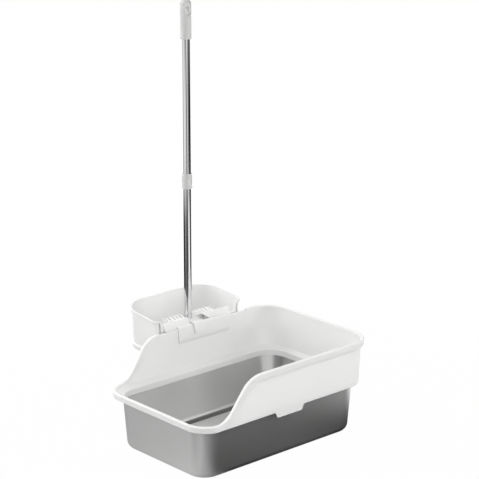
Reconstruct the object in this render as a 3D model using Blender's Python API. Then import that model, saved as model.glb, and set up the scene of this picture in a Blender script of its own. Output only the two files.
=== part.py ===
"""Litter box set: steel pan, plastic guard, hanging bin and a two-piece long scoop.

Metres, +Z up. The origin is the centre of the pan's underside. The high back end
of the guard is at +X, the low entry at -X, and the bin hangs outside the +Y wall.
"""
import math

import bmesh
import bpy
from mathutils import Vector

# Running gap between pieces that touch
GAP = 0.0003

# Steel pan, sizes at the underside before the bottom fillet
PAN_HALF_LENGTH = 0.2689
PAN_HALF_WIDTH = 0.1654
PAN_CORNER_RADIUS = 0.052
PAN_FLARE = 0.0747
PAN_FILLET = 0.018
PAN_SHEET = 0.0009
PAN_HEIGHT = 0.1385
PAN_CURL_DIAMETER = 0.0042

# Plastic guard, sizes at the bottom edge of its skirt
GUARD_HALF_LENGTH = 0.2864
GUARD_HALF_WIDTH = 0.1921
GUARD_CORNER_RADIUS = 0.0587
GUARD_FLARE = 0.0487
GUARD_WALL = 0.0025
SKIRT_DROP = 0.0022
ENTRY_RISE = 0.0165
RIM_RISE = 0.1063
RIM_OVERHANG = 0.0075
RIM_DEPTH = 0.0165
RIM_SHEET = 0.0022
RIM_ROUND = 0.0030
SWEEP_SETBACK = 0.0339
SWEEP_ANGLE = math.radians(54.0)
SWEEP_LOW_RADIUS = 0.066
SWEEP_HIGH_RADIUS = 0.076
SKIRT_BOTTOM = PAN_HEIGHT - SKIRT_DROP
RIM_LOW = PAN_HEIGHT + ENTRY_RISE
RIM_HIGH = RIM_LOW + RIM_RISE

# Drip ledge inside the guard: it seats on the pan's curl and drops inside the pan
LEDGE_RISE = 0.0115
LEDGE_SHEET = 0.0024
LEDGE_SEAT_WIDTH = 0.0060
DRIP_LIP_SHEET = 0.0016
DRIP_LIP_DROP = 0.0135
DRIP_LIP_CLEARANCE = 0.0006
LEDGE_TOP = PAN_HEIGHT + LEDGE_RISE
DRIP_LIP_BOTTOM = PAN_HEIGHT - DRIP_LIP_DROP

# Grip tab on each long side of the skirt
TAB_CENTRE = 0.0045
TAB_HALF_TOP = 0.0500
TAB_HALF_BOTTOM = 0.0420
TAB_DROP = 0.0158
TAB_CORNER = 0.0060
TAB_OVERLAP = 0.0050
FLUSH_STEP = 0.0002

# Notch in the far rim that takes the bin's hanger, about the bin's middle
NOTCH_HALF = 0.1558
NOTCH_DEPTH = 0.0043
NOTCH_RAMP = 0.0060

# Hanging bin
BIN_CENTRE = 0.0505
BIN_HALF_LENGTH = 0.1545
BIN_DEPTH = 0.1475
BIN_CLEARANCE = 0.0060
BIN_FAR_RADIUS = 0.066
BIN_NEAR_RADIUS = 0.016
BIN_DRAFT = 0.065
BIN_WALL = 0.0022
BIN_RIM_RISE = 0.0187
BIN_HEIGHT = 0.0925
BIN_RIM_SLOPE = 0.17
BIN_RIM_OUT = 0.0028
BIN_RIM_DEPTH = 0.0050
BIN_FOOT_OUT = 0.0040
BIN_FOOT_HEIGHT = 0.0160
BIN_FOOT_ROUND = 0.0050
BIN_FLOOR_FILLET = 0.010
BIN_RIM = RIM_HIGH + BIN_RIM_RISE
BIN_FLOOR = BIN_RIM - BIN_HEIGHT

# Front opening of the bin, a J on each side
FRONT_HALF_TOP = 0.1345
FRONT_HALF_BOTTOM = 0.1240
FRONT_ROUND = 0.0080

# Hanger that joins the bin to the guard's notch
HANGER_ENTRY_REACH = 0.1235
HANGER_BACK_REACH = 0.1035
HANGER_SHEET = 0.0025
HANGER_TAB_HALF_TOP = 0.0925
HANGER_TAB_HALF_BOTTOM = 0.0915
HANGER_TAB_SHEET = 0.0022
HANGER_TAB_LENGTH = 0.0418
HANGER_TAB_CORNER = 0.0050
HANGER_EDGE = 0.0006
FOLD_RISE = 0.0045
FOLD_DEPTH = 0.0085
FOLD_ROUND = 0.0024

# Rolled cover over the hanger, open where the scoop's hook passes
BAR_RISE = 0.0167
BAR_SETBACK = 0.0065
BAR_DEPTH = 0.0138
BAR_SHEET = 0.0022
BAR_BACK_RISE = 0.0010
BAR_ROUND = 0.0090
OPENING_CLEARANCE = 0.0012
OPENING_FLARE_FRONT = 0.0265
OPENING_FLARE_BACK = 0.0030

# Scoop head that hangs in the bin, offset from the bin's middle towards the entry
SCOOP_OFFSET = 0.0220
SCOOP_HALF_WIDTH = 0.0812
SCOOP_SHEET = 0.0024
SCOOP_SHELF_DEPTH = 0.0265
SCOOP_SHELF_RISE = 0.0069
SCOOP_BEND = 0.0080
SCOOP_BLADE_LENGTH = 0.0781
SCOOP_BLADE_LEAN = 0.0060
SCOOP_FRONT_GAP = 0.0010
CHEEK_SHEET = 0.0024
CHEEK_FRONT_DEPTH = 0.0150
SLOT_COUNT = 6
SLOT_PITCH = 0.0096
SLOT_WIDTH = 0.0048
SLOT_FIRST = 0.0275
SLOT_FRONT_STRIP = 0.0030
POCKET_HALF = 0.0195
SLOT_LENGTH = 0.0601

# Hook that hangs the scoop over the bin's hanger and the guard's rim
HOOK_HALF_TOP = 0.0185
HOOK_HALF_BOTTOM = 0.0145
HOOK_SHEET = 0.0026
HOOK_LEG_LENGTH = 0.0297
HOOK_CORNER = 0.0040

# Screw socket of the scoop head
SOCKET_RADIUS = 0.0135
SOCKET_DEPTH = 0.0400
SOCKET_BORE_RADIUS = 0.0083

# Pole
POLE_SETBACK = 0.0097
POLE_RADIUS = 0.0110
POLE_SHEET = 0.0006
LOWER_TUBE_LENGTH = 0.3810
UPPER_TUBE_LENGTH = 0.4381
STUD_RADIUS = 0.0080
STUD_LENGTH = 0.0330
PLUG_LENGTH = 0.0360
PLUG_CHAMFER = 0.0010
LINK_STUD_RADIUS = 0.0065
LINK_STUD_LENGTH = 0.0330

# Collar at the pole's joint
COLLAR_RADIUS = 0.0135
COLLAR_HALF_LENGTH = 0.0203
COLLAR_CHAMFER = 0.0012

# End cap with its hang hole
CAP_RADIUS = 0.0146
CAP_COVER = 0.0576
CAP_RISE = 0.0441
CAP_DOME = 0.0100
CAP_LIP = 0.0010
CAP_TURN = math.radians(-22.0)
DISH_HALF_WIDTH = 0.0098
DISH_HEIGHT_SHARE = 0.43
DISH_CENTRE_SHARE = 0.494
WEB_HALF = 0.0045
HOLE_HALF_WIDTH = 0.0048
HOLE_HEIGHT_SHARE = 0.215
HOLE_CENTRE_SHARE = 0.415

# Mesh fineness
CORNER_STEPS = 8
ARC_STEPS = 5
ROUND_STEPS = 32
SWEEP_STEPS = 14
SMOOTH_ANGLE = math.radians(32.0)


def clear_scene():
    for item in list(bpy.data.objects):
        bpy.data.objects.remove(item, do_unlink=True)


def make_material(name, colour, roughness, metallic):
    material = bpy.data.materials.new(name)
    material.use_nodes = True
    shader = material.node_tree.nodes["Principled BSDF"]
    shader.inputs["Base Color"].default_value = (*colour, 1.0)
    shader.inputs["Roughness"].default_value = roughness
    shader.inputs["Metallic"].default_value = metallic
    return material


def add_empty(name, location, parent=None):
    empty = bpy.data.objects.new(name, None)
    bpy.context.scene.collection.objects.link(empty)
    empty.location = location
    empty.parent = parent
    return empty


def add_solid(name, bm, material=None, parent=None, location=(0, 0, 0)):
    bmesh.ops.recalc_face_normals(bm, faces=bm.faces)
    mesh = bpy.data.meshes.new(name)
    bm.to_mesh(mesh)
    bm.free()
    mesh.shade_smooth()
    mesh.set_sharp_from_angle(angle=SMOOTH_ANGLE)
    solid = bpy.data.objects.new(name, mesh)
    bpy.context.scene.collection.objects.link(solid)
    solid.parent = parent
    solid.location = location
    if material:
        mesh.materials.append(material)
    return solid


def shape(solid, operation, name, bm, parent=None, location=(0, 0, 0)):
    """Join a helper form to a solid, or cut it away, with an exact boolean."""
    helper = add_solid(name, bm, None, parent, location)
    helper.hide_render = True
    helper.display_type = "WIRE"
    step = solid.modifiers.new(name, "BOOLEAN")
    step.operation = operation
    step.solver = "EXACT"
    step.object = helper
    return helper


# Outlines

def arc(centre_a, centre_b, radius, start, end, steps=ARC_STEPS):
    """Points of a circular arc in any plane, angles in degrees."""
    angles = [math.radians(start + (end - start) * i / steps) for i in range(steps + 1)]
    return [(centre_a + radius * math.cos(t), centre_b + radius * math.sin(t)) for t in angles]


def rounded(corners, steps=ARC_STEPS):
    """Polygon of (a, b, radius) corners with each corner rounded by its radius."""
    outline = []
    for i, (a, b, radius) in enumerate(corners):
        here = Vector((a, b))
        if radius <= 0:
            outline.append((a, b))
            continue
        before = (Vector(corners[i - 1][:2]) - here).normalized()
        after = (Vector(corners[(i + 1) % len(corners)][:2]) - here).normalized()
        half = before.angle(after) / 2
        middle = here + (before + after).normalized() * (radius / math.sin(half))
        first = here + before * (radius / math.tan(half)) - middle
        last = here + after * (radius / math.tan(half)) - middle
        for step in range(steps + 1):
            turn = first.slerp(last, step / steps).normalized() * radius
            outline.append(tuple(middle + turn))
    return outline


def plan_ring(x_min, x_max, y_min, y_max, near_radius, far_radius, cuts=()):
    """Rounded rectangle seen from above: a list of (x, y, normal_x, normal_y).

    cuts gives extra points on the long sides, as fractions from the low x end.
    """
    corners = (
        (x_max - near_radius, y_min + near_radius, near_radius, -90.0),
        (x_max - far_radius, y_max - far_radius, far_radius, 0.0),
        (x_min + far_radius, y_max - far_radius, far_radius, 90.0),
        (x_min + near_radius, y_min + near_radius, near_radius, 180.0),
    )
    points = []
    for index, (cx, cy, radius, start) in enumerate(corners):
        for step in range(CORNER_STEPS + 1):
            angle = math.radians(start + 90.0 * step / CORNER_STEPS)
            normal = (math.cos(angle), math.sin(angle))
            points.append((cx + radius * normal[0], cy + radius * normal[1], *normal))
        if index == 1:
            left = x_min + far_radius
            points += [(left + (cx - left) * f, y_max, 0.0, 1.0) for f in reversed(cuts)]
        if index == 3:
            right = x_max - near_radius
            points += [(cx + (right - cx) * f, y_min, 0.0, -1.0) for f in cuts]
    return points


def centred_ring(half_x, half_y, radius, cuts=()):
    return plan_ring(-half_x, half_x, -half_y, half_y, radius, radius, cuts)


def circle_ring(radius, z, steps=ROUND_STEPS):
    turns = [2 * math.pi * i / steps for i in range(steps)]
    return [Vector((radius * math.cos(t), radius * math.sin(t), z)) for t in turns]


# Solids

def loft(rings, closed):
    """Skin rings of equal count. closed joins the last to the first, else both ends are capped."""
    bm = bmesh.new()
    rows = [[bm.verts.new(point) for point in ring] for ring in rings]
    pairs = list(zip(rows, rows[1:]))
    if closed:
        pairs.append((rows[-1], rows[0]))
    for low, high in pairs:
        count = len(low)
        for i in range(count):
            j = (i + 1) % count
            bm.faces.new((low[i], low[j], high[j], high[i]))
    if not closed:
        bm.faces.new(rows[0])
        bm.faces.new(rows[-1])
    return bm


def turned(profile, closed):
    """Turned piece about the local Z axis from (radius, z) points."""
    return loft([circle_ring(radius, z) for radius, z in profile], closed)


def prism(outline, place, near, far):
    """Extrude an outline between two depths. place(a, b, depth) gives the 3-D point."""
    ends = [[Vector(place(a, b, depth)) for a, b in outline] for depth in (near, far)]
    return loft(ends, False)


def prism_x(outline, x_min, x_max):
    return prism(outline, lambda y, z, x: (x, y, z), x_min, x_max)


def prism_y(outline, y_min, y_max):
    return prism(outline, lambda x, z, y: (x, y, z), y_min, y_max)


def plate(outline, face, thickness):
    """Upright plate of (x, z) outline; face(z) is its -Y side, so it can lean with a wall."""
    return prism(outline, lambda x, z, depth: (x, face(z) + depth, z), 0.0, thickness)


# Pan

def pan_ring(offset, z):
    grow = PAN_FLARE * z + offset
    ring = centred_ring(PAN_HALF_LENGTH + grow, PAN_HALF_WIDTH + grow, PAN_CORNER_RADIUS + grow)
    return [Vector((x, y, z)) for x, y, _, _ in ring]


def pan_profile():
    """(offset from the outer wall, z) from the underside, over the curl, to the inside floor."""
    inside = PAN_FILLET - PAN_SHEET
    curl = PAN_CURL_DIAMETER / 2
    outer_turn = arc(-PAN_FILLET, PAN_FILLET, PAN_FILLET, -90, 0)
    curl_turn = arc(curl - PAN_SHEET, PAN_HEIGHT - curl, curl, -120, 180, 2 * ARC_STEPS)
    inner_turn = arc(-PAN_FILLET, PAN_FILLET, inside, 0, -90)
    return outer_turn + curl_turn + inner_turn


def build_pan(material):
    rings = [pan_ring(offset, z) for offset, z in pan_profile()]
    return add_solid("steel_pan", loft(rings, False), material)


# Guard

def guard_offset(z):
    return GUARD_FLARE * (z - SKIRT_BOTTOM)


def rim_height(x):
    """Height of the rim: low at the entry, an S sweep of two arcs and a line, then high."""
    low_run = SWEEP_LOW_RADIUS * math.sin(SWEEP_ANGLE)
    high_run = SWEEP_HIGH_RADIUS * math.sin(SWEEP_ANGLE)
    arcs_rise = (SWEEP_LOW_RADIUS + SWEEP_HIGH_RADIUS) * (1 - math.cos(SWEEP_ANGLE))
    line_run = (RIM_RISE - arcs_rise) / math.tan(SWEEP_ANGLE)
    run = x + GUARD_HALF_LENGTH - SWEEP_SETBACK
    if run <= 0:
        return RIM_LOW
    if run < low_run:
        return RIM_LOW + SWEEP_LOW_RADIUS - math.sqrt(SWEEP_LOW_RADIUS ** 2 - run ** 2)
    if run < low_run + line_run:
        start = RIM_LOW + SWEEP_LOW_RADIUS * (1 - math.cos(SWEEP_ANGLE))
        return start + (run - low_run) * math.tan(SWEEP_ANGLE)
    left = low_run + line_run + high_run - run
    if left > 0:
        return RIM_HIGH - SWEEP_HIGH_RADIUS + math.sqrt(SWEEP_HIGH_RADIUS ** 2 - left ** 2)
    return RIM_HIGH


def sweep_cuts():
    """Points along the long sides: close together on the sweep, few on the level rim."""
    straight = GUARD_HALF_LENGTH - GUARD_CORNER_RADIUS
    end = SWEEP_SETBACK - GUARD_HALF_LENGTH + RIM_RISE / math.tan(SWEEP_ANGLE)
    end += (SWEEP_LOW_RADIUS + SWEEP_HIGH_RADIUS) * math.sin(SWEEP_ANGLE)
    span = (end + straight) / (2 * straight)
    cuts = [span * (i + 1) / SWEEP_STEPS for i in range(SWEEP_STEPS)]
    return cuts + [span + (1 - span) / 2]


def guard_stations(cuts):
    """Rim frame at each plan point: point on the outer wall, outward normal, up along the wall."""
    base = centred_ring(GUARD_HALF_LENGTH, GUARD_HALF_WIDTH, GUARD_CORNER_RADIUS, cuts)
    tops = []
    for x, y, nx, ny in base:
        height = rim_height(x)
        grow = guard_offset(height)
        tops.append(Vector((x + nx * grow, y + ny * grow, height)))
    stations = []
    for i, (_, _, nx, ny) in enumerate(base):
        along = tops[(i + 1) % len(tops)] - tops[i - 1]
        normal = Vector((nx, ny, 0.0))
        up = normal.cross(along).normalized()
        stations.append((tops[i], normal, up))
    return stations


def rim_profile():
    """(outward, up) points of the turned-down rim, from the outer wall over to the inner wall."""
    outer = RIM_OVERHANG
    groove = outer - RIM_SHEET
    inner = -GUARD_WALL
    half_top = (outer - inner) / 2
    turn = min(RIM_ROUND, half_top)
    over = arc(outer - turn, -turn, turn, 0, 90, 3) + arc(inner + turn, -turn, turn, 90, 180, 3)
    return [(0.0, -RIM_SHEET), (groove, -RIM_SHEET), (groove, -RIM_DEPTH), (outer, -RIM_DEPTH)] + over


def guard_ring(offset, z, cuts):
    grow = guard_offset(z) + offset
    half_length = GUARD_HALF_LENGTH + grow
    half_width = GUARD_HALF_WIDTH + grow
    ring = centred_ring(half_length, half_width, GUARD_CORNER_RADIUS + grow, cuts)
    return [Vector((x, y, z)) for x, y, _, _ in ring]


def ledge_ring(outward, z, cuts):
    """Ring of the drip lip, measured outward from the face that clears the pan's inner wall."""
    grow = PAN_FLARE * DRIP_LIP_BOTTOM - PAN_SHEET - DRIP_LIP_CLEARANCE + outward
    half_length = PAN_HALF_LENGTH + grow
    half_width = PAN_HALF_WIDTH + grow
    ring = centred_ring(half_length, half_width, PAN_CORNER_RADIUS + grow, cuts)
    return [Vector((x, y, z)) for x, y, _, _ in ring]


def build_guard(material, parent):
    cuts = sweep_cuts()
    stations = guard_stations(cuts)
    seat = PAN_HEIGHT + GAP
    rings = [guard_ring(0.0, SKIRT_BOTTOM, cuts)]
    for outward, up in rim_profile():
        rings.append([top + normal * outward + rise * up for top, normal, rise in stations])
    rings += [
        guard_ring(-GUARD_WALL, LEDGE_TOP, cuts),
        ledge_ring(-DRIP_LIP_SHEET, seat + LEDGE_SHEET, cuts),
        ledge_ring(-DRIP_LIP_SHEET, DRIP_LIP_BOTTOM, cuts),
        ledge_ring(0.0, DRIP_LIP_BOTTOM, cuts),
        ledge_ring(0.0, seat, cuts),
        ledge_ring(LEDGE_SEAT_WIDTH, seat + GAP, cuts),
        guard_ring(-GUARD_WALL, LEDGE_TOP - LEDGE_SHEET, cuts),
        guard_ring(-GUARD_WALL, SKIRT_BOTTOM, cuts),
    ]
    guard = add_solid("guard", loft(rings, True), material, parent)
    add_grip_tabs(guard, parent)
    cut_notch(guard, parent)
    return guard


def add_grip_tabs(guard, parent):
    top = SKIRT_BOTTOM + TAB_OVERLAP
    outline = rounded([
        (TAB_CENTRE - TAB_HALF_TOP, top, 0),
        (TAB_CENTRE - TAB_HALF_TOP, SKIRT_BOTTOM, 0),
        (TAB_CENTRE - TAB_HALF_BOTTOM, SKIRT_BOTTOM - TAB_DROP, TAB_CORNER / 2),
        (TAB_CENTRE + TAB_HALF_BOTTOM, SKIRT_BOTTOM - TAB_DROP, TAB_CORNER),
        (TAB_CENTRE + TAB_HALF_TOP, SKIRT_BOTTOM, 0),
        (TAB_CENTRE + TAB_HALF_TOP, top, 0),
    ])
    sheet = GUARD_WALL - 2 * FLUSH_STEP

    def near_face(z):
        return -(GUARD_HALF_WIDTH + guard_offset(z) - FLUSH_STEP)

    def far_face(z):
        return -near_face(z) - sheet

    shape(guard, "UNION", "grip_tab_near", plate(outline, near_face, sheet), parent)
    shape(guard, "UNION", "grip_tab_far", plate(outline, far_face, sheet), parent)


def notch_floor():
    return RIM_HIGH - NOTCH_DEPTH


def cut_notch(guard, parent):
    wall_top = GUARD_HALF_WIDTH + guard_offset(RIM_HIGH)
    above = RIM_HIGH + RIM_ROUND
    flat = NOTCH_HALF - NOTCH_RAMP
    outline = [(-flat, notch_floor()), (flat, notch_floor()), (NOTCH_HALF, above), (-NOTCH_HALF, above)]
    outside = wall_top + 2 * RIM_OVERHANG
    inside = wall_top - 2 * GUARD_WALL
    place = (BIN_CENTRE, 0, 0)
    shape(guard, "DIFFERENCE", "notch_cut", prism_y(outline, inside, outside), parent, place)
    low = RIM_HIGH - RIM_DEPTH - RIM_ROUND
    high = notch_floor() + FLUSH_STEP
    skirt = [(-flat, low), (flat, low), (flat, high), (-flat, high)]
    groove_middle = wall_top + (RIM_OVERHANG - RIM_SHEET) / 2
    shape(guard, "DIFFERENCE", "rim_skirt_cut", prism_y(skirt, groove_middle, outside), parent, place)


# Bin, modelled about its own middle in x

def bin_front():
    """The bin's front wall stands clear of the guard's rim."""
    return GUARD_HALF_WIDTH + guard_offset(RIM_HIGH) + RIM_OVERHANG + BIN_CLEARANCE


def bin_ring(offset, z, on_rim=False):
    """Ring of the bin at height z, or at z above the sloping rim when on_rim is set."""
    front = bin_front()
    level = BIN_RIM if on_rim else z
    drawn = offset - BIN_DRAFT * (BIN_RIM - level)
    half = BIN_HALF_LENGTH + drawn
    near = front - offset
    far = front + BIN_DEPTH + drawn
    ring = plan_ring(-half, half, near, far, BIN_NEAR_RADIUS + offset, BIN_FAR_RADIUS + drawn)
    points = []
    for x, y, _, _ in ring:
        slope = BIN_RIM + BIN_RIM_SLOPE * (y - front) + z if on_rim else z
        points.append(Vector((x, y, slope)))
    return points


def foot_profile():
    """(offset, z) of the rolled foot and the floor's outer edge, from the underside up."""
    turn = BIN_FOOT_ROUND
    top = BIN_FLOOR + BIN_FOOT_HEIGHT
    return (
        arc(BIN_FOOT_OUT - turn, BIN_FLOOR + turn, turn, -90, 0, 3)
        + arc(BIN_FOOT_OUT - turn, top - turn, turn, 0, 60, 3)
    )


def build_bin(material, parent):
    rings = [bin_ring(offset, z) for offset, z in foot_profile()]
    rings += [
        bin_ring(0.0, -BIN_RIM_DEPTH, True),
        bin_ring(BIN_RIM_OUT, -BIN_RIM_DEPTH, True),
        bin_ring(BIN_RIM_OUT, -BIN_RIM_OUT / 2, True),
        bin_ring(BIN_RIM_OUT / 2, 0.0, True),
        bin_ring(-BIN_WALL / 2, 0.0, True),
        bin_ring(-BIN_WALL, -BIN_WALL / 2, True),
    ]
    fillet = BIN_FLOOR_FILLET
    floor = BIN_FLOOR + BIN_WALL
    inside = arc(-BIN_WALL - fillet, floor + fillet, fillet, 0, -90, 4)
    rings += [bin_ring(offset, z) for offset, z in inside]
    bin_body = add_solid("bin", loft(rings, False), material, parent)
    cut_front(bin_body, parent)
    add_hanger(bin_body, parent)
    add_bars(bin_body, parent)
    add_hanger_tab(bin_body, parent)
    return bin_body


def hanger_top():
    return notch_floor() + GAP + HANGER_SHEET


def cut_front(bin_body, parent):
    above = BIN_RIM + BIN_RIM_DEPTH + BIN_RIM_OUT
    outline = rounded([
        (-FRONT_HALF_BOTTOM, hanger_top(), FRONT_ROUND),
        (FRONT_HALF_BOTTOM, hanger_top(), FRONT_ROUND),
        (FRONT_HALF_TOP, above, 0),
        (-FRONT_HALF_TOP, above, 0),
    ])
    reach = BIN_RIM_OUT + BIN_WALL
    cut = prism_y(outline, bin_front() - reach, bin_front() + reach)
    shape(bin_body, "DIFFERENCE", "front_cut", cut, parent)


def guard_inner_face(z):
    return GUARD_HALF_WIDTH + guard_offset(z) - GUARD_WALL


def hanger_tab_face(z):
    """Inner face of the bin's tab, which leans with the guard's wall."""
    return guard_inner_face(z) - GAP - HANGER_TAB_SHEET


def tab_outline(half_top, half_bottom, top, bottom, radius):
    return rounded([
        (-half_top, top, 0),
        (-half_bottom, bottom, radius),
        (half_bottom, bottom, radius),
        (half_top, top, 0),
    ])


def hanger_front():
    return hanger_tab_face(hanger_top() - HANGER_SHEET) - HANGER_EDGE


def add_hanger(bin_body, parent):
    top = hanger_top()
    bottom = top - HANGER_SHEET
    front = hanger_front()
    back = bin_front() + BIN_WALL / 2
    outline = [(front, bottom), (back, bottom), (back, top), (front, top)]
    flange = prism_x(outline, -HANGER_ENTRY_REACH, HANGER_BACK_REACH)
    shape(bin_body, "UNION", "hanger_flange", flange, parent)


def fold_top():
    return hanger_top() + FOLD_RISE


def add_hanger_tab(bin_body, parent):
    """Fold on the hanger's front edge, and the tab that hangs from it inside the guard."""
    front = hanger_front() - FLUSH_STEP
    back = front + FOLD_DEPTH
    base = hanger_top() - HANGER_SHEET / 2
    outline = rounded([
        (front, base, 0),
        (back, base, 0),
        (back, fold_top(), FOLD_ROUND),
        (front, fold_top(), FOLD_ROUND),
    ])
    fold = prism_x(outline, -HANGER_TAB_HALF_TOP, HANGER_TAB_HALF_TOP)
    shape(bin_body, "UNION", "hanger_fold", fold, parent)
    outline = tab_outline(
        HANGER_TAB_HALF_TOP - FLUSH_STEP, HANGER_TAB_HALF_BOTTOM,
        base, hanger_top() - HANGER_TAB_LENGTH, HANGER_TAB_CORNER,
    )
    tab = plate(outline, hanger_tab_face, HANGER_TAB_SHEET)
    shape(bin_body, "UNION", "hanger_tab", tab, parent)


def bar_back():
    return bin_front() + BAR_DEPTH


def bar_section(inset):
    """Outer edge of the rolled bar in (y, z), drawn in by inset; it is open underneath."""
    top = hanger_top() + BAR_RISE
    turn = BAR_ROUND - inset
    crown = arc(bar_back() - BAR_ROUND, top - BAR_ROUND, turn, 110, 0, 7)
    front = (hanger_front() + BAR_SETBACK, hanger_top() - inset)
    return [front] + crown + [(bar_back() - inset, hanger_top() + BAR_BACK_RISE)]


def add_bars(bin_body, parent):
    """The cover as one roll, then the opening that parts it in two."""
    outline = bar_section(FLUSH_STEP) + bar_section(BAR_SHEET)[::-1]
    roll = prism_x(outline, FLUSH_STEP - HANGER_ENTRY_REACH, HANGER_BACK_REACH - FLUSH_STEP)
    shape(bin_body, "UNION", "bar_roll", roll, parent)
    left = -SCOOP_OFFSET - HOOK_HALF_TOP - OPENING_CLEARANCE
    front = hanger_front() - BAR_SETBACK
    back = bar_back() + BAR_SHEET
    plan = [
        (left, front),
        (OPENING_FLARE_FRONT, front),
        (OPENING_FLARE_FRONT, hanger_front() + BAR_SETBACK),
        (OPENING_FLARE_BACK, bar_back() - BAR_ROUND / 2),
        (OPENING_FLARE_BACK, back),
        (left, back),
    ]
    seat = hanger_top() - FLUSH_STEP
    above = hanger_top() + 2 * BAR_RISE
    opening = prism(plan, lambda x, y, z: (x, y, z), seat, above)
    shape(bin_body, "DIFFERENCE", "bar_opening", opening, parent)


# Scoop head, modelled about its own middle in x

def shelf_front():
    return bar_back() + SCOOP_FRONT_GAP


def pole_y():
    return shelf_front() + POLE_SETBACK


def tongue_top():
    return fold_top() + GAP + HOOK_SHEET


def shelf_top():
    return tongue_top() + SCOOP_SHELF_RISE


def scoop_path(inset):
    """Side view of the scoop's sheet: a level shelf, a bend and the hanging blade."""
    front = shelf_front()
    top = shelf_top()
    back = front + SCOOP_SHELF_DEPTH
    turn = SCOOP_BEND - inset
    bend = arc(back - SCOOP_BEND, top - SCOOP_BEND, turn, 90, 0)
    tip = (back - inset + SCOOP_BLADE_LEAN, top - SCOOP_BLADE_LENGTH)
    return [(front, top - inset)] + bend + [tip]


def build_scoop_head(material, parent):
    outline = scoop_path(0.0) + scoop_path(SCOOP_SHEET)[::-1]
    bm = prism_x(outline, -SCOOP_HALF_WIDTH, SCOOP_HALF_WIDTH)
    head = add_solid("scoop_head", bm, material, parent)
    add_cheeks(head, parent)
    cut_slots(head, parent)
    add_pocket(head, parent)
    add_hook(head, parent)
    add_socket(head, parent)
    return head


def add_cheeks(head, parent):
    """Side walls that close the scoop, and the shorter walls of the pole's pocket."""
    front_low = (shelf_front() + FLUSH_STEP, shelf_top() - CHEEK_FRONT_DEPTH)
    outline = scoop_path(FLUSH_STEP) + [front_low]
    side_wall = SCOOP_HALF_WIDTH - FLUSH_STEP - CHEEK_SHEET
    for side, name in ((-1, "entry"), (1, "back")):
        near, far = sorted((side * side_wall, side * (side_wall + CHEEK_SHEET)))
        shape(head, "UNION", f"cheek_{name}", prism_x(outline, near, far), parent)
        near, far = sorted((side * POCKET_HALF, side * (POCKET_HALF + CHEEK_SHEET)))
        shape(head, "UNION", f"pocket_wall_{name}", prism_x(outline, near, far), parent)


def add_pocket(head, parent):
    """Open the shelf round the pole, and close the pocket below with a floor at the hook's level."""
    top = tongue_top()
    back = shelf_front() + SCOOP_SHELF_DEPTH - SCOOP_SHEET
    front = shelf_front() - SCOOP_FRONT_GAP
    half = POCKET_HALF + FLUSH_STEP
    above = shelf_top() + SCOOP_SHEET
    outline = [(front, top - HOOK_SHEET / 2), (back, top - HOOK_SHEET / 2), (back, above), (front, above)]
    shape(head, "DIFFERENCE", "pocket_cut", prism_x(outline, -half, half), parent)
    front = shelf_front() + FLUSH_STEP
    back += SCOOP_SHEET / 2
    outline = [(front, top - HOOK_SHEET), (back, top - HOOK_SHEET), (back, top), (front, top)]
    half = POCKET_HALF + CHEEK_SHEET / 2
    shape(head, "UNION", "pocket_floor", prism_x(outline, -half, half), parent)


def hook_face(z):
    """Inner face of the hook's leg, clear of the bin's hanger."""
    return hanger_tab_face(z) - HANGER_EDGE - 2 * GAP - HOOK_SHEET


def add_hook(head, parent):
    """Flat tongue from the pocket's floor over the rim, and its leg down inside the guard."""
    top = tongue_top() - FLUSH_STEP
    bottom = tongue_top() - HOOK_SHEET + FLUSH_STEP
    lip = hook_face(bottom)
    back = shelf_front() + SCOOP_SHEET
    outline = [(lip, bottom), (back, bottom), (back, top), (lip, top)]
    shape(head, "UNION", "hook_tongue", prism_x(outline, -HOOK_HALF_TOP, HOOK_HALF_TOP), parent)

    outline = tab_outline(
        HOOK_HALF_TOP - FLUSH_STEP, HOOK_HALF_BOTTOM,
        top - HOOK_SHEET / 2, top - HOOK_LEG_LENGTH, HOOK_CORNER,
    )
    shape(head, "UNION", "hook_leg", plate(outline, hook_face, HOOK_SHEET), parent)


def cut_slots(head, parent):
    """Sifting slots that run over the bend, from the shelf's front strip down the blade."""
    front = shelf_front() + SLOT_FRONT_STRIP
    back = shelf_front() + SCOOP_SHELF_DEPTH + 2 * SCOOP_BLADE_LEAN
    above = shelf_top() + 2 * SCOOP_SHEET
    below = shelf_top() - SLOT_LENGTH
    outline = [(front, below), (back, below), (back, above), (front, above)]
    for side, name in ((-1, "entry"), (1, "back")):
        for i in range(SLOT_COUNT):
            middle = side * (SLOT_FIRST + i * SLOT_PITCH)
            cut = prism_x(outline, middle - SLOT_WIDTH / 2, middle + SLOT_WIDTH / 2)
            shape(head, "DIFFERENCE", f"slot_{name}_{i + 1}", cut, parent)


def add_socket(head, parent):
    """Boss under the pocket's floor, bored for the pole's stud."""
    place = (0, pole_y(), 0)
    top = tongue_top()
    boss_top = top - HOOK_SHEET / 2
    boss = turned([(SOCKET_RADIUS, top - SOCKET_DEPTH), (SOCKET_RADIUS, boss_top)], False)
    shape(head, "UNION", "socket_boss", boss, parent, place)
    reach = SOCKET_DEPTH / 4
    ends = [(SOCKET_BORE_RADIUS, top - SOCKET_DEPTH - reach), (SOCKET_BORE_RADIUS, top + reach)]
    shape(head, "DIFFERENCE", "socket_bore", turned(ends, False), parent, place)


# Pole, modelled about its own axis

def tube(name, bottom, top, material, parent):
    inner = POLE_RADIUS - POLE_SHEET
    profile = [(POLE_RADIUS, bottom), (POLE_RADIUS, top), (inner, top), (inner, bottom)]
    return add_solid(name, turned(profile, True), material, parent)


def plug_radius():
    return POLE_RADIUS - POLE_SHEET - GAP


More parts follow.
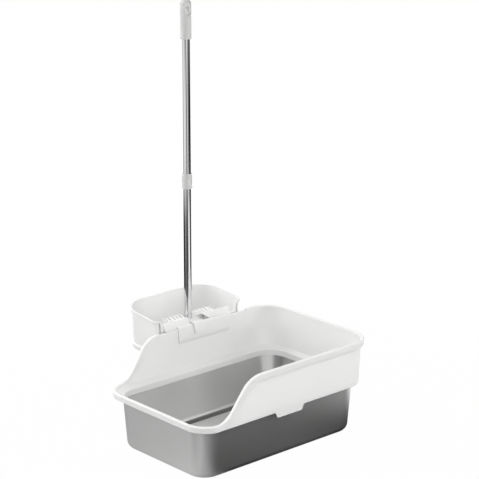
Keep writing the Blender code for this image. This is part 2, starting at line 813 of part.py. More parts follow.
def stud_plug(name, face, top, stud_radius, stud_length, material, parent):
    """Plug that fills a tube's end from its face up, with a screw stud below it."""
    radius = plug_radius()
    profile = [
        (stud_radius - PLUG_CHAMFER, face - stud_length),
        (stud_radius, face - stud_length + PLUG_CHAMFER),
        (stud_radius, face),
        (radius, face),
        (radius, top - PLUG_CHAMFER),
        (radius - PLUG_CHAMFER, top),
    ]
    return add_solid(name, turned(profile, False), material, parent)


def build_lower_pole(steel, plastic, parent):
    """Lower tube with its foot plug, its screw insert and the collar, above the scoop's pocket."""
    joint = LOWER_TUBE_LENGTH
    tube("lower_tube", GAP, joint, steel, parent)
    stud_plug("foot_plug", GAP, PLUG_LENGTH, STUD_RADIUS, STUD_LENGTH, plastic, parent)
    bore = LINK_STUD_RADIUS + GAP
    low = joint - LINK_STUD_LENGTH - 2 * PLUG_CHAMFER
    radius = plug_radius()
    profile = [(radius, low), (radius, joint - GAP), (bore, joint - GAP), (bore, low)]
    add_solid("screw_insert", turned(profile, True), plastic, parent)
    low = joint - COLLAR_HALF_LENGTH
    high = joint + COLLAR_HALF_LENGTH
    inside = POLE_RADIUS + GAP
    profile = [
        (COLLAR_RADIUS - COLLAR_CHAMFER, low),
        (COLLAR_RADIUS, low + COLLAR_CHAMFER),
        (COLLAR_RADIUS, high - COLLAR_CHAMFER),
        (COLLAR_RADIUS - COLLAR_CHAMFER, high),
        (inside, high),
        (inside, low),
    ]
    add_solid("joint_collar", turned(profile, True), plastic, parent)


def build_upper_pole(steel, plastic, parent):
    """Upper tube with its screw plug and the end cap, above the pole's joint."""
    tube("upper_tube", GAP, UPPER_TUBE_LENGTH, steel, parent)
    stud_plug("link_plug", GAP, PLUG_LENGTH, LINK_STUD_RADIUS, LINK_STUD_LENGTH, plastic, parent)
    build_cap(plastic, parent)


def build_cap(material, parent):
    inside = POLE_RADIUS + GAP
    low = UPPER_TUBE_LENGTH - CAP_COVER
    high = UPPER_TUBE_LENGTH + CAP_RISE
    roof = UPPER_TUBE_LENGTH + GAP
    dome = arc(CAP_RADIUS - CAP_DOME, high - CAP_DOME, CAP_DOME, 0, 80, 6)
    profile = [(inside - POLE_RADIUS / 2, roof), (inside, roof), (inside, low)]
    profile += [(CAP_RADIUS - CAP_LIP, low), (CAP_RADIUS, low + CAP_LIP)] + dome
    cap = add_solid("end_cap", turned(profile, False), material, parent)
    cap.rotation_euler = (0, 0, CAP_TURN)
    cut_cap(cap)
    return cap


def oval(half_width, height_share, centre_share):
    """Upright slot outline with half-round ends, set by shares of the cap's solid head."""
    half_height = height_share * CAP_RISE
    centre = UPPER_TUBE_LENGTH + centre_share * CAP_RISE
    up = arc(0, centre + half_height - half_width, half_width, 0, 180, 10)
    down = arc(0, centre - half_height + half_width, half_width, 180, 360, 10)
    return up + down


def cut_cap(cap):
    """A dish on each face of the cap, and the hang hole through the web between them."""
    outside = 2 * CAP_RADIUS
    dish = oval(DISH_HALF_WIDTH, DISH_HEIGHT_SHARE, DISH_CENTRE_SHARE)
    shape(cap, "DIFFERENCE", "dish_front", prism_y(dish, -outside, -WEB_HALF), cap)
    shape(cap, "DIFFERENCE", "dish_rear", prism_y(dish, WEB_HALF, outside), cap)
    hole = oval(HOLE_HALF_WIDTH, HOLE_HEIGHT_SHARE, HOLE_CENTRE_SHARE)
    shape(cap, "DIFFERENCE", "hang_hole", prism_y(hole, -outside, outside), cap)


def build():
    clear_scene()
    brushed = make_material("brushed_steel", (0.55, 0.55, 0.54), 0.34, 1.0)
    chrome = make_material("chromed_tube", (0.75, 0.75, 0.76), 0.08, 1.0)
    white = make_material("white_plastic", (0.86, 0.86, 0.85), 0.42, 0.0)

    guard_lift = add_empty("guard_lift", (0, 0, 0))
    bin_lift = add_empty("bin_lift", (BIN_CENTRE, 0, 0), guard_lift)
    scoop_lift = add_empty("scoop_lift", (-SCOOP_OFFSET, 0, 0), bin_lift)
    lower_turn = add_empty("lower_pole_turn", (0, pole_y(), tongue_top()), scoop_lift)
    upper_turn = add_empty("upper_pole_turn", (0, 0, LOWER_TUBE_LENGTH), lower_turn)

    build_pan(brushed)
    build_guard(white, guard_lift)
    build_bin(white, bin_lift)
    build_scoop_head(white, scoop_lift)
    build_lower_pole(chrome, white, lower_turn)
    build_upper_pole(chrome, white, upper_turn)


build()
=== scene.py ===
import math

import bmesh
import bpy
from mathutils import Matrix, Vector


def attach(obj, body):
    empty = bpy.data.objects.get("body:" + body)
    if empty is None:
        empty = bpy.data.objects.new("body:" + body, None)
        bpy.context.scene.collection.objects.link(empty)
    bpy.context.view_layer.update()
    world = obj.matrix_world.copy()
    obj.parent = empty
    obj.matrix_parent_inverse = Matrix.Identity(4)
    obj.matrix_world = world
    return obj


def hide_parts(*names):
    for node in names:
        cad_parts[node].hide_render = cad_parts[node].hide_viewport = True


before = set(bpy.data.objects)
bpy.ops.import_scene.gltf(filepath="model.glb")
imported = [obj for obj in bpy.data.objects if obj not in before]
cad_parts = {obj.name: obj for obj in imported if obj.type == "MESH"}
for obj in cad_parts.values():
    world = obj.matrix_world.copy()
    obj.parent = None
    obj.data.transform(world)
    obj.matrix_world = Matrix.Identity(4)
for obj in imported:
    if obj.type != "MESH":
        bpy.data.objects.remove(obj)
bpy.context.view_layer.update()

# Camera. A long lens stands off the pan's entry corner and looks a little down,
# as in the photograph.
CAMERA_PLACE = (-3.034, -3.3845, 1.883)
CAMERA_YAW = math.radians(48.096)
CAMERA_PITCH = math.radians(16.415)
CAMERA_LENS = 139.0
CAMERA_SENSOR = 36.0


def place_object(name, data):
    thing = bpy.data.objects.new(name, data)
    bpy.context.scene.collection.objects.link(thing)
    return thing


lens = bpy.data.cameras.new("camera")
lens.lens = CAMERA_LENS
lens.sensor_width = CAMERA_SENSOR
lens.clip_end = 100.0
camera = place_object("camera", lens)
camera.location = CAMERA_PLACE
level = math.cos(CAMERA_PITCH)
forward = Vector((level * math.cos(CAMERA_YAW), level * math.sin(CAMERA_YAW), -math.sin(CAMERA_PITCH)))
camera.rotation_euler = forward.to_track_quat("-Z", "Y").to_euler()
bpy.context.scene.camera = camera
bpy.context.scene.view_settings.view_transform = "Standard"


# Studio. A white sweep under seven large soft lamps, in an evenly lit room. Metal mirrors levels of
# its own instead, in the room and in the floor, which were fitted to the photograph.
ROOM_LIGHT = 0.30
LAMP_SIZE = 2.4
LAMP_DISTANCE = 4.0
# (name, turn and rise in degrees, watts) of each lamp, all aimed at the origin
LAMPS = (
    ("lamp_far", 90, 45, 46.0),
    ("lamp_left", 135, 45, 45.0),
    ("lamp_front", 240, 45, 44.0),
    ("lamp_back_low", 45, 15, 76.0),
    ("lamp_left_low", 135, 15, 46.0),
    ("lamp_front_low", 225, 15, 28.0),
    ("lamp_right_low", 315, 15, 68.0),
)
# What metal mirrors of the room well below the horizon, as (turn about the vertical in degrees,
# level) stops
ROOM_DEEP = (
    (0, 0.52), (12, 1.30), (72, 1.30), (84, 0.92), (96, 0.0), (156, 0.0), (180, 0.44), (192, 0.0),
    (216, 0.15), (240, 0.0), (252, 0.15), (264, 1.30), (288, 1.30), (300, 0.32), (324, 0.0), (348, 0.0),
    (360, 0.52),
)
# The bands over it: the two heights of the direction between which each takes over, and its stops
ROOM_BANDS = (
    (-0.275, -0.245, (
        (0, 0.0), (24, 1.30), (108, 1.26), (120, 0.22), (132, 0.28), (156, 1.15), (180, 0.85), (204, 1.04),
        (228, 0.05), (240, 0.31), (252, 1.19), (264, 0.35), (276, 0.04), (288, 0.33), (300, 0.0), (360, 0.0),
    )),
    (-0.22, -0.12, (
        (0, 0.62), (40, 0.46), (60, 0.50), (120, 1.11), (140, 1.20), (160, 0.90), (180, 0.0), (220, 0.03),
        (240, 1.30), (260, 1.07), (280, 0.45), (320, 0.15), (340, 0.49), (360, 0.62),
    )),
    (0.10, 0.45, ((0, 0.0), (40, 0.40), (80, 1.35), (320, 1.35), (360, 0.0))),
)
ROOM_TOP = 1.15
ROOM_TOP_FROM = (0.85, 0.98)
# What metal mirrors of the floor, by X minus Y in metres, which grows towards the near right
FLOOR_LEVELS = (
    (-0.60, 0.39), (-0.30, 0.53), (-0.15, 0.62), (0.0, 0.02), (0.15, 0.035), (0.30, 0.05), (0.45, 0.0),
    (0.60, 0.0), (0.75, 0.62), (0.90, 0.54), (1.10, 0.36), (1.40, 0.35),
)
# A white patch of it right of the pan's back end, from these X and Y on
PATCH_X = (0.40, 0.52)
PATCH_Y = (-0.42, -0.30)
# The floor is mirrored up to this distance from the middle, and the room beyond it
FLOOR_MIRROR_REACH = 0.85
# The matt floor's tone, and the share of plain white that the camera sees over it and its shadow,
# which rises to all of it between two distances, so that no horizon shows
FLOOR_TONE = 0.50
FLOOR_LIFT = 0.985
FLOOR_WHITE_FROM = (0.7, 1.6)
FLOOR_SIZE = 40.0


def add_node(tree, kind, **settings):
    node = tree.nodes.new(kind)
    for name, value in settings.items():
        setattr(node, name, value)
    return node


def join(tree, source, target):
    tree.links.new(source, target)


def feed(tree, value, socket):
    """Write a number on the socket, or link an output to it."""
    if isinstance(value, (int, float)):
        socket.default_value = value
    else:
        join(tree, value, socket)


def math_step(tree, operation, *values):
    node = add_node(tree, "ShaderNodeMath", operation=operation)
    for value, socket in zip(values, node.inputs):
        feed(tree, value, socket)
    return node.outputs[0]


def blend(tree, factor, first, second):
    """Mix of two levels."""
    node = add_node(tree, "ShaderNodeMix", data_type="FLOAT")
    for value, label in ((factor, "Factor"), (first, "A"), (second, "B")):
        feed(tree, value, node.inputs[label])
    return node.outputs["Result"]


def mix_shaders(tree, factor, first, second):
    node = add_node(tree, "ShaderNodeMixShader")
    for source, socket in zip((factor, first, second), node.inputs):
        join(tree, source, socket)
    return node.outputs[0]


def split(tree, vector):
    """X, Y and Z of a vector."""
    node = add_node(tree, "ShaderNodeSeparateXYZ")
    join(tree, vector, node.inputs[0])
    return node.outputs


def on_object(tree):
    return add_node(tree, "ShaderNodeTexCoord").outputs["Object"]


def ray_kinds(tree):
    """Masks of the rays that see the plain white, and of those that metal mirrors."""
    rays = add_node(tree, "ShaderNodeLightPath").outputs
    seen = math_step(tree, "MAXIMUM", rays["Is Camera Ray"], rays["Is Transmission Ray"])
    return seen, rays["Is Glossy Ray"]


def map_range(tree, value, *limits, kind="LINEAR"):
    """Map a value from one range, its first two limits, to another or to 0 to 1."""
    node = add_node(tree, "ShaderNodeMapRange", interpolation_type=kind)
    for limit, label in zip((value, *limits), ("Value", "From Min", "From Max", "To Min", "To Max")):
        feed(tree, limit, node.inputs[label])
    return node.outputs[0]


def rise_over(tree, value, start, end):
    """0 below start, 1 above end, with a soft step between."""
    return map_range(tree, value, start, end, kind="SMOOTHSTEP")


def level_curve(tree, value, stops):
    """Float Curve through (position, level) stops, straight between them."""
    first, last = stops[0][0], stops[-1][0]
    scaled = math_step(tree, "DIVIDE", math_step(tree, "SUBTRACT", value, first), last - first)
    node = add_node(tree, "ShaderNodeFloatCurve")
    node.mapping.use_clip = False
    curve = node.mapping.curves[0]
    while len(curve.points) < len(stops):
        curve.points.new(0.5, 0.5)
    for point, (position, level) in zip(curve.points, stops):
        point.location = ((position - first) / (last - first), level)
        point.handle_type = "VECTOR"
    node.mapping.update()
    join(tree, scaled, node.inputs["Value"])
    return node.outputs["Value"]


room = bpy.data.worlds.new("room")
bpy.context.scene.world = room
room.use_nodes = True
tree = room.node_tree
tree.nodes.clear()
direction = split(tree, add_node(tree, "ShaderNodeTexCoord").outputs["Generated"])
turn = math_step(tree, "ARCTAN2", direction["Y"], direction["X"])
turn = math_step(tree, "FRACT", math_step(tree, "DIVIDE", turn, 2 * math.pi))
turn = math_step(tree, "MULTIPLY", turn, 360.0)
mirrored = level_curve(tree, turn, ROOM_DEEP)
for start, end, stops in ROOM_BANDS:
    taken_over = rise_over(tree, direction["Z"], start, end)
    mirrored = blend(tree, taken_over, mirrored, level_curve(tree, turn, stops))
mirrored = blend(tree, rise_over(tree, direction["Z"], *ROOM_TOP_FROM), mirrored, ROOM_TOP)
seen, glossy = ray_kinds(tree)
glow = add_node(tree, "ShaderNodeBackground")
glow.inputs["Color"].default_value = (1.0, 1.0, 1.0, 1.0)
join(tree, blend(tree, seen, blend(tree, glossy, ROOM_LIGHT, mirrored), 1.0), glow.inputs["Strength"])
join(tree, glow.outputs[0], add_node(tree, "ShaderNodeOutputWorld").inputs["Surface"])

for name, lamp_turn, lamp_rise, watts in LAMPS:
    lamp_data = bpy.data.lights.new(name, "AREA")
    lamp_data.shape = "SQUARE"
    lamp_data.size = LAMP_SIZE
    lamp_data.energy = watts
    lamp = place_object(name, lamp_data)
    rise = math.radians(lamp_rise)
    ahead = Vector((LAMP_DISTANCE * math.cos(rise), 0.0, LAMP_DISTANCE * math.sin(rise)))
    lamp.location = Matrix.Rotation(math.radians(lamp_turn), 3, "Z") @ ahead
    lamp.rotation_euler = (-lamp.location).to_track_quat("-Z", "Y").to_euler()
    lamp.visible_glossy = False

sweep = bpy.data.materials.new("studio_sweep")
sweep.use_nodes = True
tree = sweep.node_tree
tree.nodes.clear()
floor_place = on_object(tree)
spot = split(tree, floor_place)
length = add_node(tree, "ShaderNodeVectorMath", operation="LENGTH")
join(tree, floor_place, length.inputs[0])
reach = length.outputs["Value"]
near_right = math_step(tree, "SUBTRACT", spot["X"], spot["Y"])
near_right = math_step(tree, "MAXIMUM", near_right, FLOOR_LEVELS[0][0])
near_right = math_step(tree, "MINIMUM", near_right, FLOOR_LEVELS[-1][0])
in_x, in_y = rise_over(tree, spot["X"], *PATCH_X), rise_over(tree, spot["Y"], *PATCH_Y)
level_there = level_curve(tree, near_right, FLOOR_LEVELS)
level_there = math_step(tree, "MAXIMUM", level_there, math_step(tree, "MULTIPLY", in_x, in_y))
mirror = add_node(tree, "ShaderNodeEmission")
join(tree, level_there, mirror.inputs["Strength"])
past_end = math_step(tree, "GREATER_THAN", reach, FLOOR_MIRROR_REACH)
nothing = add_node(tree, "ShaderNodeBsdfTransparent")
mirrored = mix_shaders(tree, past_end, mirror.outputs[0], nothing.outputs[0])
matt = add_node(tree, "ShaderNodeBsdfDiffuse")
matt.inputs["Color"].default_value = (FLOOR_TONE, FLOOR_TONE, FLOOR_TONE, 1.0)
seen, glossy = ray_kinds(tree)
lift = blend(tree, rise_over(tree, reach, *FLOOR_WHITE_FROM), FLOOR_LIFT, 1.0)
lift = math_step(tree, "MULTIPLY", seen, lift)
lifted = mix_shaders(tree, lift, matt.outputs[0], add_node(tree, "ShaderNodeEmission").outputs[0])
floor_shader = mix_shaders(tree, glossy, lifted, mirrored)
join(tree, floor_shader, add_node(tree, "ShaderNodeOutputMaterial").inputs["Surface"])

half = FLOOR_SIZE / 2
floor_mesh = bpy.data.meshes.new("studio_floor")
corners = [(-half, -half, 0), (half, -half, 0), (half, half, 0), (-half, half, 0)]
floor_mesh.from_pydata(corners, [], [(0, 1, 2, 3)])
floor_mesh.materials.append(sweep)
studio_floor = place_object("studio_floor", floor_mesh)


# Pan. One stainless sheet drawn into a box with round corners and a flaring wall; its edge
# is curled outward and its faces have a satin finish that runs round the wall.
PAN_HALF_LENGTH = 0.2689
PAN_HALF_WIDTH = 0.1654
PAN_CORNER = 0.052
PAN_FLARE = 0.0747
PAN_FILLET = 0.018
PAN_SHEET = 0.0009
PAN_HEIGHT = 0.1385
PAN_CURL = 0.0021
CORNER_STEPS = 28
# Where a piece asks for round edges, those that turn by more than this many degrees are rounded
BEVEL_FROM = 40.0
# A face is level from this z of its normal on; the wall's map runs round at this radius
SHEET_LEVEL, SHEET_RADIUS = 0.9, 0.25
# The scratches' scale along and across the sheet, and the share of the fine ones
FINE_SCRATCHES, COARSE_SCRATCHES = (6.0, 2600.0, 1.0), (3.0, 420.0, 1.0)
FINE_SHARE = 0.65
STEEL_ROUGHNESS = (0.30, 0.38)
# An edge starts to wear between these two values of its pointiness, where 0.5 is flat
WORN_FROM = (0.51, 0.58)
STEEL_DARK, STEEL_LIGHT = (0.745, 0.745, 0.740), (0.800, 0.800, 0.795)
# The last colour is the dark grey of the painted shade in the bend and on the back wall past its corners
STEEL_WORN, STEEL_PAINTED_SHADE = (0.82, 0.82, 0.815), (0.17, 0.17, 0.17)
# Where painted shade darkens the steel: the normal's z at the start and end of the bend and the heights at
# its top, then how squarely the back wall faces the entry, how dark the painted shade gets, and from which X
BEND_START, BEND_END = (0.50, 0.74), (0.985, 0.9995)
BEND_TOP = (0.016, 0.020)
CORNER_TURN, WALL_TURN = (0.72, 0.86), (0.965, 1.0)
CORNER_DARK, WALL_LIGHTER = 0.62, 0.27
BACK_FROM_X = (0.15, 0.20)


def arc(centre_a, centre_b, radius, start, end, steps):
    angles = [math.radians(start + (end - start) * i / steps) for i in range(steps + 1)]
    return [(centre_a + radius * math.cos(t), centre_b + radius * math.sin(t)) for t in angles]


def plan_ring(x_min, x_max, y_min, y_max, near_radius, far_radius, cuts=()):
    """Rounded rectangle from above as (x, y, normal x, normal y), cut at shares of its long sides."""
    middle, half = (x_min + x_max) / 2, (x_max - x_min) / 2
    corners = (
        (x_max - near_radius, y_min + near_radius, near_radius, -90.0),
        (x_max - far_radius, y_max - far_radius, far_radius, 0.0),
        (x_min + far_radius, y_max - far_radius, far_radius, 90.0),
        (x_min + near_radius, y_min + near_radius, near_radius, 180.0),
    )
    points = []
    for index, (cx, cy, radius, start) in enumerate(corners):
        for step in range(CORNER_STEPS + 1):
            angle = math.radians(start + 90.0 * step / CORNER_STEPS)
            nx, ny = math.cos(angle), math.sin(angle)
            points.append((cx + radius * nx, cy + radius * ny, nx, ny))
        if index == 1:
            points += [(middle + share * (half - far_radius), y_max, 0.0, 1.0) for share in reversed(cuts)]
        if index == 3:
            points += [(middle + share * (half - near_radius), y_min, 0.0, -1.0) for share in cuts]
    return points


def centred_ring(half_x, half_y, radius, cuts=()):
    return plan_ring(-half_x, half_x, -half_y, half_y, radius, radius, cuts)


def smooth_faces(mesh, angle=35.0):
    mesh.shade_smooth()
    mesh.set_sharp_from_angle(angle=math.radians(angle))


def new_piece(name, vertices, faces, material, smooth=35.0):
    """A mesh object at the origin, faces outward, smooth but for its sharp edges."""
    mesh = bpy.data.meshes.new(name)
    mesh.from_pydata(vertices, [], faces)
    shell = bmesh.new()
    shell.from_mesh(mesh)
    bmesh.ops.recalc_face_normals(shell, faces=shell.faces)
    shell.to_mesh(mesh)
    shell.free()
    smooth_faces(mesh, smooth)
    mesh.materials.append(material)
    return place_object(name, mesh)


def skin(rings, closed):
    """Vertices and faces of a tube through rings of equal count; its ends are joined or capped."""
    count = len(rings[0])
    vertices = [tuple(point) for ring in rings for point in ring]
    faces = []
    last = len(rings) if closed else len(rings) - 1
    for row in range(last):
        low, high = row * count, ((row + 1) % len(rings)) * count
        for i in range(count):
            j = (i + 1) % count
            faces.append((low + i, low + j, high + j, high + i))
    if not closed:
        faces.append(tuple(range(count)))
        faces.append(tuple(range((len(rings) - 1) * count, len(rings) * count)))
    return vertices, faces


def even_normals(piece):
    """Let wide flat faces set the shading where they meet small round ones."""
    step = piece.modifiers.new("even_normals", "WEIGHTED_NORMAL")
    step.keep_sharp = True
    step.weight = 80


def soften_edges(piece, width, segments):
    step = piece.modifiers.new("soft_edges", "BEVEL")
    step.width = width
    step.segments = segments
    step.limit_method = "ANGLE"
    step.angle_limit = math.radians(BEVEL_FROM)
    step.harden_normals = False
    step.use_clamp_overlap = True


def bake_steps(piece):
    """Turn a piece with its modifiers into a plain mesh."""
    graph = bpy.context.evaluated_depsgraph_get()
    mesh = bpy.data.meshes.new_from_object(piece.evaluated_get(graph))
    piece.modifiers.clear()
    piece.data = mesh
    mesh.name = piece.name


def finish_mesh(piece, edge=None, segments=2):
    """Round the sharp edges by a width where one is given, even out the shading, and bake."""
    if edge:
        soften_edges(piece, edge, segments)
    even_normals(piece)
    bake_steps(piece)


def new_group(name, inputs, outputs, kind="ShaderNodeTree"):
    """Node group with named sockets; gives the group, and inside it the given values and the results."""
    group = bpy.data.node_groups.new(name, kind)
    for label, socket_kind, value in inputs:
        socket = group.interface.new_socket(label, in_out="INPUT", socket_type=socket_kind)
        if value is not None:
            socket.default_value = value
    for label, socket_kind in outputs:
        group.interface.new_socket(label, in_out="OUTPUT", socket_type=socket_kind)
    return group, add_node(group, "NodeGroupInput").outputs, add_node(group, "NodeGroupOutput").inputs


def noise(tree, vector, scale, detail, roughness):
    node = add_node(tree, "ShaderNodeTexNoise")
    for label, value in zip(("Vector", "Scale", "Detail", "Roughness"), (vector, scale, detail, roughness)):
        feed(tree, value, node.inputs[label])
    return node.outputs["Fac"]


def stretched(tree, vector, scale):
    node = add_node(tree, "ShaderNodeMapping")
    node.inputs["Scale"].default_value = scale
    join(tree, vector, node.inputs["Vector"])
    return node.outputs[0]


# Worn edge: rubbed where the surface turns sharply outward, in broken patches
edge_wear, source, target = new_group(
    "edge_wear",
    [("Vector", "NodeSocketVector", None), ("Break Up", "NodeSocketFloat", 60.0)],
    [("Mask", "NodeSocketFloat")],
)
bend = add_node(edge_wear, "ShaderNodeNewGeometry").outputs["Pointiness"]
sharp = rise_over(edge_wear, bend, *WORN_FROM)
patches = noise(edge_wear, source["Vector"], source["Break Up"], 4.0, 0.6)
join(edge_wear, math_step(edge_wear, "MULTIPLY", sharp, patches), target["Mask"])

# Satin sheet finish: fine and coarse scratches drawn along the sheet, with broad hazy patches
satin_finish, source, target = new_group(
    "satin_finish",
    [("Along", "NodeSocketVector", None), ("Haze At", "NodeSocketVector", None)],
    [("Scratches", "NodeSocketFloat"), ("Haze", "NodeSocketFloat")],
)
fine = noise(satin_finish, stretched(satin_finish, source["Along"], FINE_SCRATCHES), 1.0, 3.0, 0.7)
coarse = noise(satin_finish, stretched(satin_finish, source["Along"], COARSE_SCRATCHES), 1.0, 2.0, 0.6)
coarse = math_step(satin_finish, "MULTIPLY", coarse, 1.0 - FINE_SHARE)
join(satin_finish, math_step(satin_finish, "MULTIPLY_ADD", fine, FINE_SHARE, coarse), target["Scratches"])
join(satin_finish, noise(satin_finish, source["Haze At"], 7.0, 3.0, 0.55), target["Haze"])


def new_material(name):
    material = bpy.data.materials.new(name)
    material.use_nodes = True
    return material, material.node_tree, material.node_tree.nodes["Principled BSDF"]


def use_group(tree, group, **links):
    """Add a group with its inputs linked; gives its outputs."""
    node = add_node(tree, "ShaderNodeGroup", node_tree=group)
    for label, source in links.items():
        join(tree, source, node.inputs[label.replace("_", " ")])
    return node.outputs


def spread(tree, value, low, high):
    """Give a noise, which keeps near its middle, a range from low to high."""
    return map_range(tree, value, 0.25, 0.75, low, high)


def tint(tree, factor, dark, light):
    """Mix of two colours, each written or linked."""
    node = add_node(tree, "ShaderNodeMix", data_type="RGBA")
    join(tree, factor, node.inputs["Factor"])
    for colour, label in ((dark, "A"), (light, "B")):
        if isinstance(colour, tuple):
            node.inputs[label].default_value = (*colour, 1.0)
        else:
            join(tree, colour, node.inputs[label])
    return node.outputs["Result"]


def bump(tree, height, strength, distance):
    node = add_node(tree, "ShaderNodeBump")
    node.inputs["Strength"].default_value = strength
    node.inputs["Distance"].default_value = distance
    join(tree, height, node.inputs["Height"])
    return node.outputs[0]


satin_steel, tree, shader = new_material("satin_steel")
shader.inputs["Metallic"].default_value = 1.0
shader.inputs["Anisotropic"].default_value = 0.85
shader.inputs["Anisotropic Rotation"].default_value = 0.25
sheet_run = add_node(tree, "ShaderNodeTangent", direction_type="UV_MAP", uv_map="sheet")
join(tree, sheet_run.outputs[0], shader.inputs["Tangent"])
around = add_node(tree, "ShaderNodeUVMap", uv_map="sheet").outputs[0]
at = on_object(tree)
finish = use_group(tree, satin_finish, Along=around, Haze_At=at)
wear = use_group(tree, edge_wear, Vector=at)
steel_tone = tint(tree, finish["Haze"], STEEL_DARK, STEEL_LIGHT)
steel_tone = tint(tree, wear["Mask"], steel_tone, STEEL_WORN)
# In the photograph the bend between wall and floor, and the back wall just past its corners, are
# darker than the mirrored levels make them, so painted shade darkens the steel's own colour there
normal = split(tree, add_node(tree, "ShaderNodeNewGeometry").outputs["Normal"])
place = split(tree, at)
bend_start, bend_end = (rise_over(tree, normal["Z"], *band) for band in (BEND_START, BEND_END))
above_bend = rise_over(tree, place["Z"], *BEND_TOP)
in_bend = math_step(tree, "SUBTRACT", bend_start, bend_end)
in_bend = math_step(tree, "MULTIPLY", in_bend, math_step(tree, "SUBTRACT", 1.0, above_bend))
inward = math_step(tree, "MULTIPLY", normal["X"], -1.0)
past_corner = math_step(tree, "MULTIPLY", rise_over(tree, inward, *CORNER_TURN), CORNER_DARK)
on_wall = math_step(tree, "MULTIPLY", rise_over(tree, inward, *WALL_TURN), WALL_LIGHTER)
at_back = math_step(tree, "SUBTRACT", past_corner, on_wall)
at_back = math_step(tree, "MULTIPLY", at_back, rise_over(tree, place["X"], *BACK_FROM_X))
# Painted shade: the bend and the back wall past its corners are tinted towards a dark grey
steel_tone = tint(tree, math_step(tree, "MAXIMUM", in_bend, at_back), steel_tone, STEEL_PAINTED_SHADE)
join(tree, steel_tone, shader.inputs["Base Color"])
join(tree, spread(tree, finish["Scratches"], *STEEL_ROUGHNESS), shader.inputs["Roughness"])
join(tree, bump(tree, finish["Scratches"], 0.12, 0.00002), shader.inputs["Normal"])


def pan_ring(offset, z):
    grow = PAN_FLARE * z + offset
    ring = centred_ring(PAN_HALF_LENGTH + grow, PAN_HALF_WIDTH + grow, PAN_CORNER + grow)
    return [(x, y, z) for x, y, _, _ in ring]


inner_fillet = PAN_FILLET - PAN_SHEET
pan_profile = arc(-PAN_FILLET, PAN_FILLET, PAN_FILLET, -90, 0, 12)
pan_profile += arc(PAN_CURL - PAN_SHEET, PAN_HEIGHT - PAN_CURL, PAN_CURL, -120, 180, 20)
pan_profile += arc(-PAN_FILLET, PAN_FILLET, inner_fillet, 0, -90, 12)
pan = new_piece("pan", *skin([pan_ring(*point) for point in pan_profile], False), satin_steel)


def lay_sheet_map(piece):
    """UV map in metres: round the wall and up it, and along the length on level faces."""
    mesh = piece.data
    layer = mesh.uv_layers.new(name="sheet")
    for face in mesh.polygons:
        centre_turn = math.atan2(face.center.y, face.center.x)
        for corner in face.loop_indices:
            x, y, z = mesh.vertices[mesh.loops[corner].vertex_index].co
            if abs(face.normal.z) > SHEET_LEVEL:
                layer.data[corner].uv = (x, y)
                continue
            turn = math.atan2(y, x)
            if turn - centre_turn > math.pi:
                turn -= 2 * math.pi
            if centre_turn - turn > math.pi:
                turn += 2 * math.pi
            layer.data[corner].uv = (turn * SHEET_RADIUS, z)


lay_sheet_map(pan)
finish_mesh(pan)
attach(pan, "pan")
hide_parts("steel_pan")


# Guard. A moulded white wall that drops over the pan: low at the entry, swept up to the high
# back, its rim turned down outside, with a drip ledge inside and a grip tab on each long side.
GUARD_HALF_LENGTH = 0.2864
GUARD_HALF_WIDTH = 0.1921
GUARD_CORNER = 0.0587
GUARD_FLARE = 0.0487
GUARD_WALL = 0.0025
SKIRT_BOTTOM = 0.1363
RIM_LOW = 0.1550
RIM_HIGH = 0.2613
RIM_OVERHANG = 0.0075
RIM_DEPTH = 0.0165
RIM_SHEET = 0.0022
RIM_TAPER = 0.0010
RIM_ROUND = 0.0030
RIM_LIP = 0.0007
SWEEP_START = -0.2525
SWEEP_ANGLE = math.radians(54.0)
SWEEP_LOW_RADIUS = 0.066
SWEEP_HIGH_RADIUS = 0.076
LEDGE_TOP = 0.1500
LEDGE_SHEET = 0.0024
LEDGE_SEAT = PAN_HEIGHT + 0.0003
DRIP_LIP_BOTTOM = 0.1250
DRIP_LIP_SHEET = 0.0016
DRIP_LIP_CLEARANCE = 0.0006
TAB_PLACES = ((-0.0455, 0.0), (-0.0375, 0.0158), (0.0465, 0.0158), (0.0545, 0.0))
TAB_ROUND = 0.0050
NOTCH_PLACES = ((-0.1088, 0.0), (-0.1028, 0.0043), (0.2028, 0.0043), (0.2088, 0.0))
NOTCH_ROUND = 0.0020
# One millimetre, for small steps beside a corner and for cuts that go past a face
MILLIMETRE = 0.001
# Strength and height of the plastic's grain, how much a worn edge takes its own colour, and the
# share of the light that sinks in
GRAIN_STRENGTH, GRAIN_HEIGHT = 0.10, 0.00005
WORN_SHARE = 0.5
SUNK_LIGHT = 0.6

# Moulded plastic skin: a fine orange-peel grain, and faint changes of tone and gloss
moulded_skin, source, target = new_group(
    "moulded_skin",
    [("Vector", "NodeSocketVector", None), ("Grain Scale", "NodeSocketFloat", 1400.0)],
    [("Grain", "NodeSocketFloat"), ("Tone", "NodeSocketFloat"), ("Haze", "NodeSocketFloat")],
)
for label, scale, detail, roughness in (
    ("Grain", source["Grain Scale"], 2.0, 0.5), ("Tone", 9.0, 3.0, 0.5), ("Haze", 34.0, 4.0, 0.6),
):
    join(moulded_skin, noise(moulded_skin, source["Vector"], scale, detail, roughness), target[label])


def moulded_plastic(name, dark, light, worn_colour, roughness, light_depth=0.003):
    """Satin white plastic with its own tone and gloss; light sinks in by light_depth metres."""
    material, tree, shader = new_material(name)
    at = on_object(tree)
    surface = use_group(tree, moulded_skin, Vector=at)
    wear = use_group(tree, edge_wear, Vector=at)
    tone = tint(tree, surface["Tone"], dark, light)
    tone = tint(tree, math_step(tree, "MULTIPLY", wear["Mask"], WORN_SHARE), tone, worn_colour)
    join(tree, tone, shader.inputs["Base Color"])
    join(tree, spread(tree, surface["Haze"], *roughness), shader.inputs["Roughness"])
    join(tree, bump(tree, surface["Grain"], GRAIN_STRENGTH, GRAIN_HEIGHT), shader.inputs["Normal"])
    shader.inputs["Subsurface Weight"].default_value = SUNK_LIGHT
    shader.inputs["Subsurface Radius"].default_value = (1.0, 1.0, 1.0)
    shader.inputs["Subsurface Scale"].default_value = light_depth
    return material


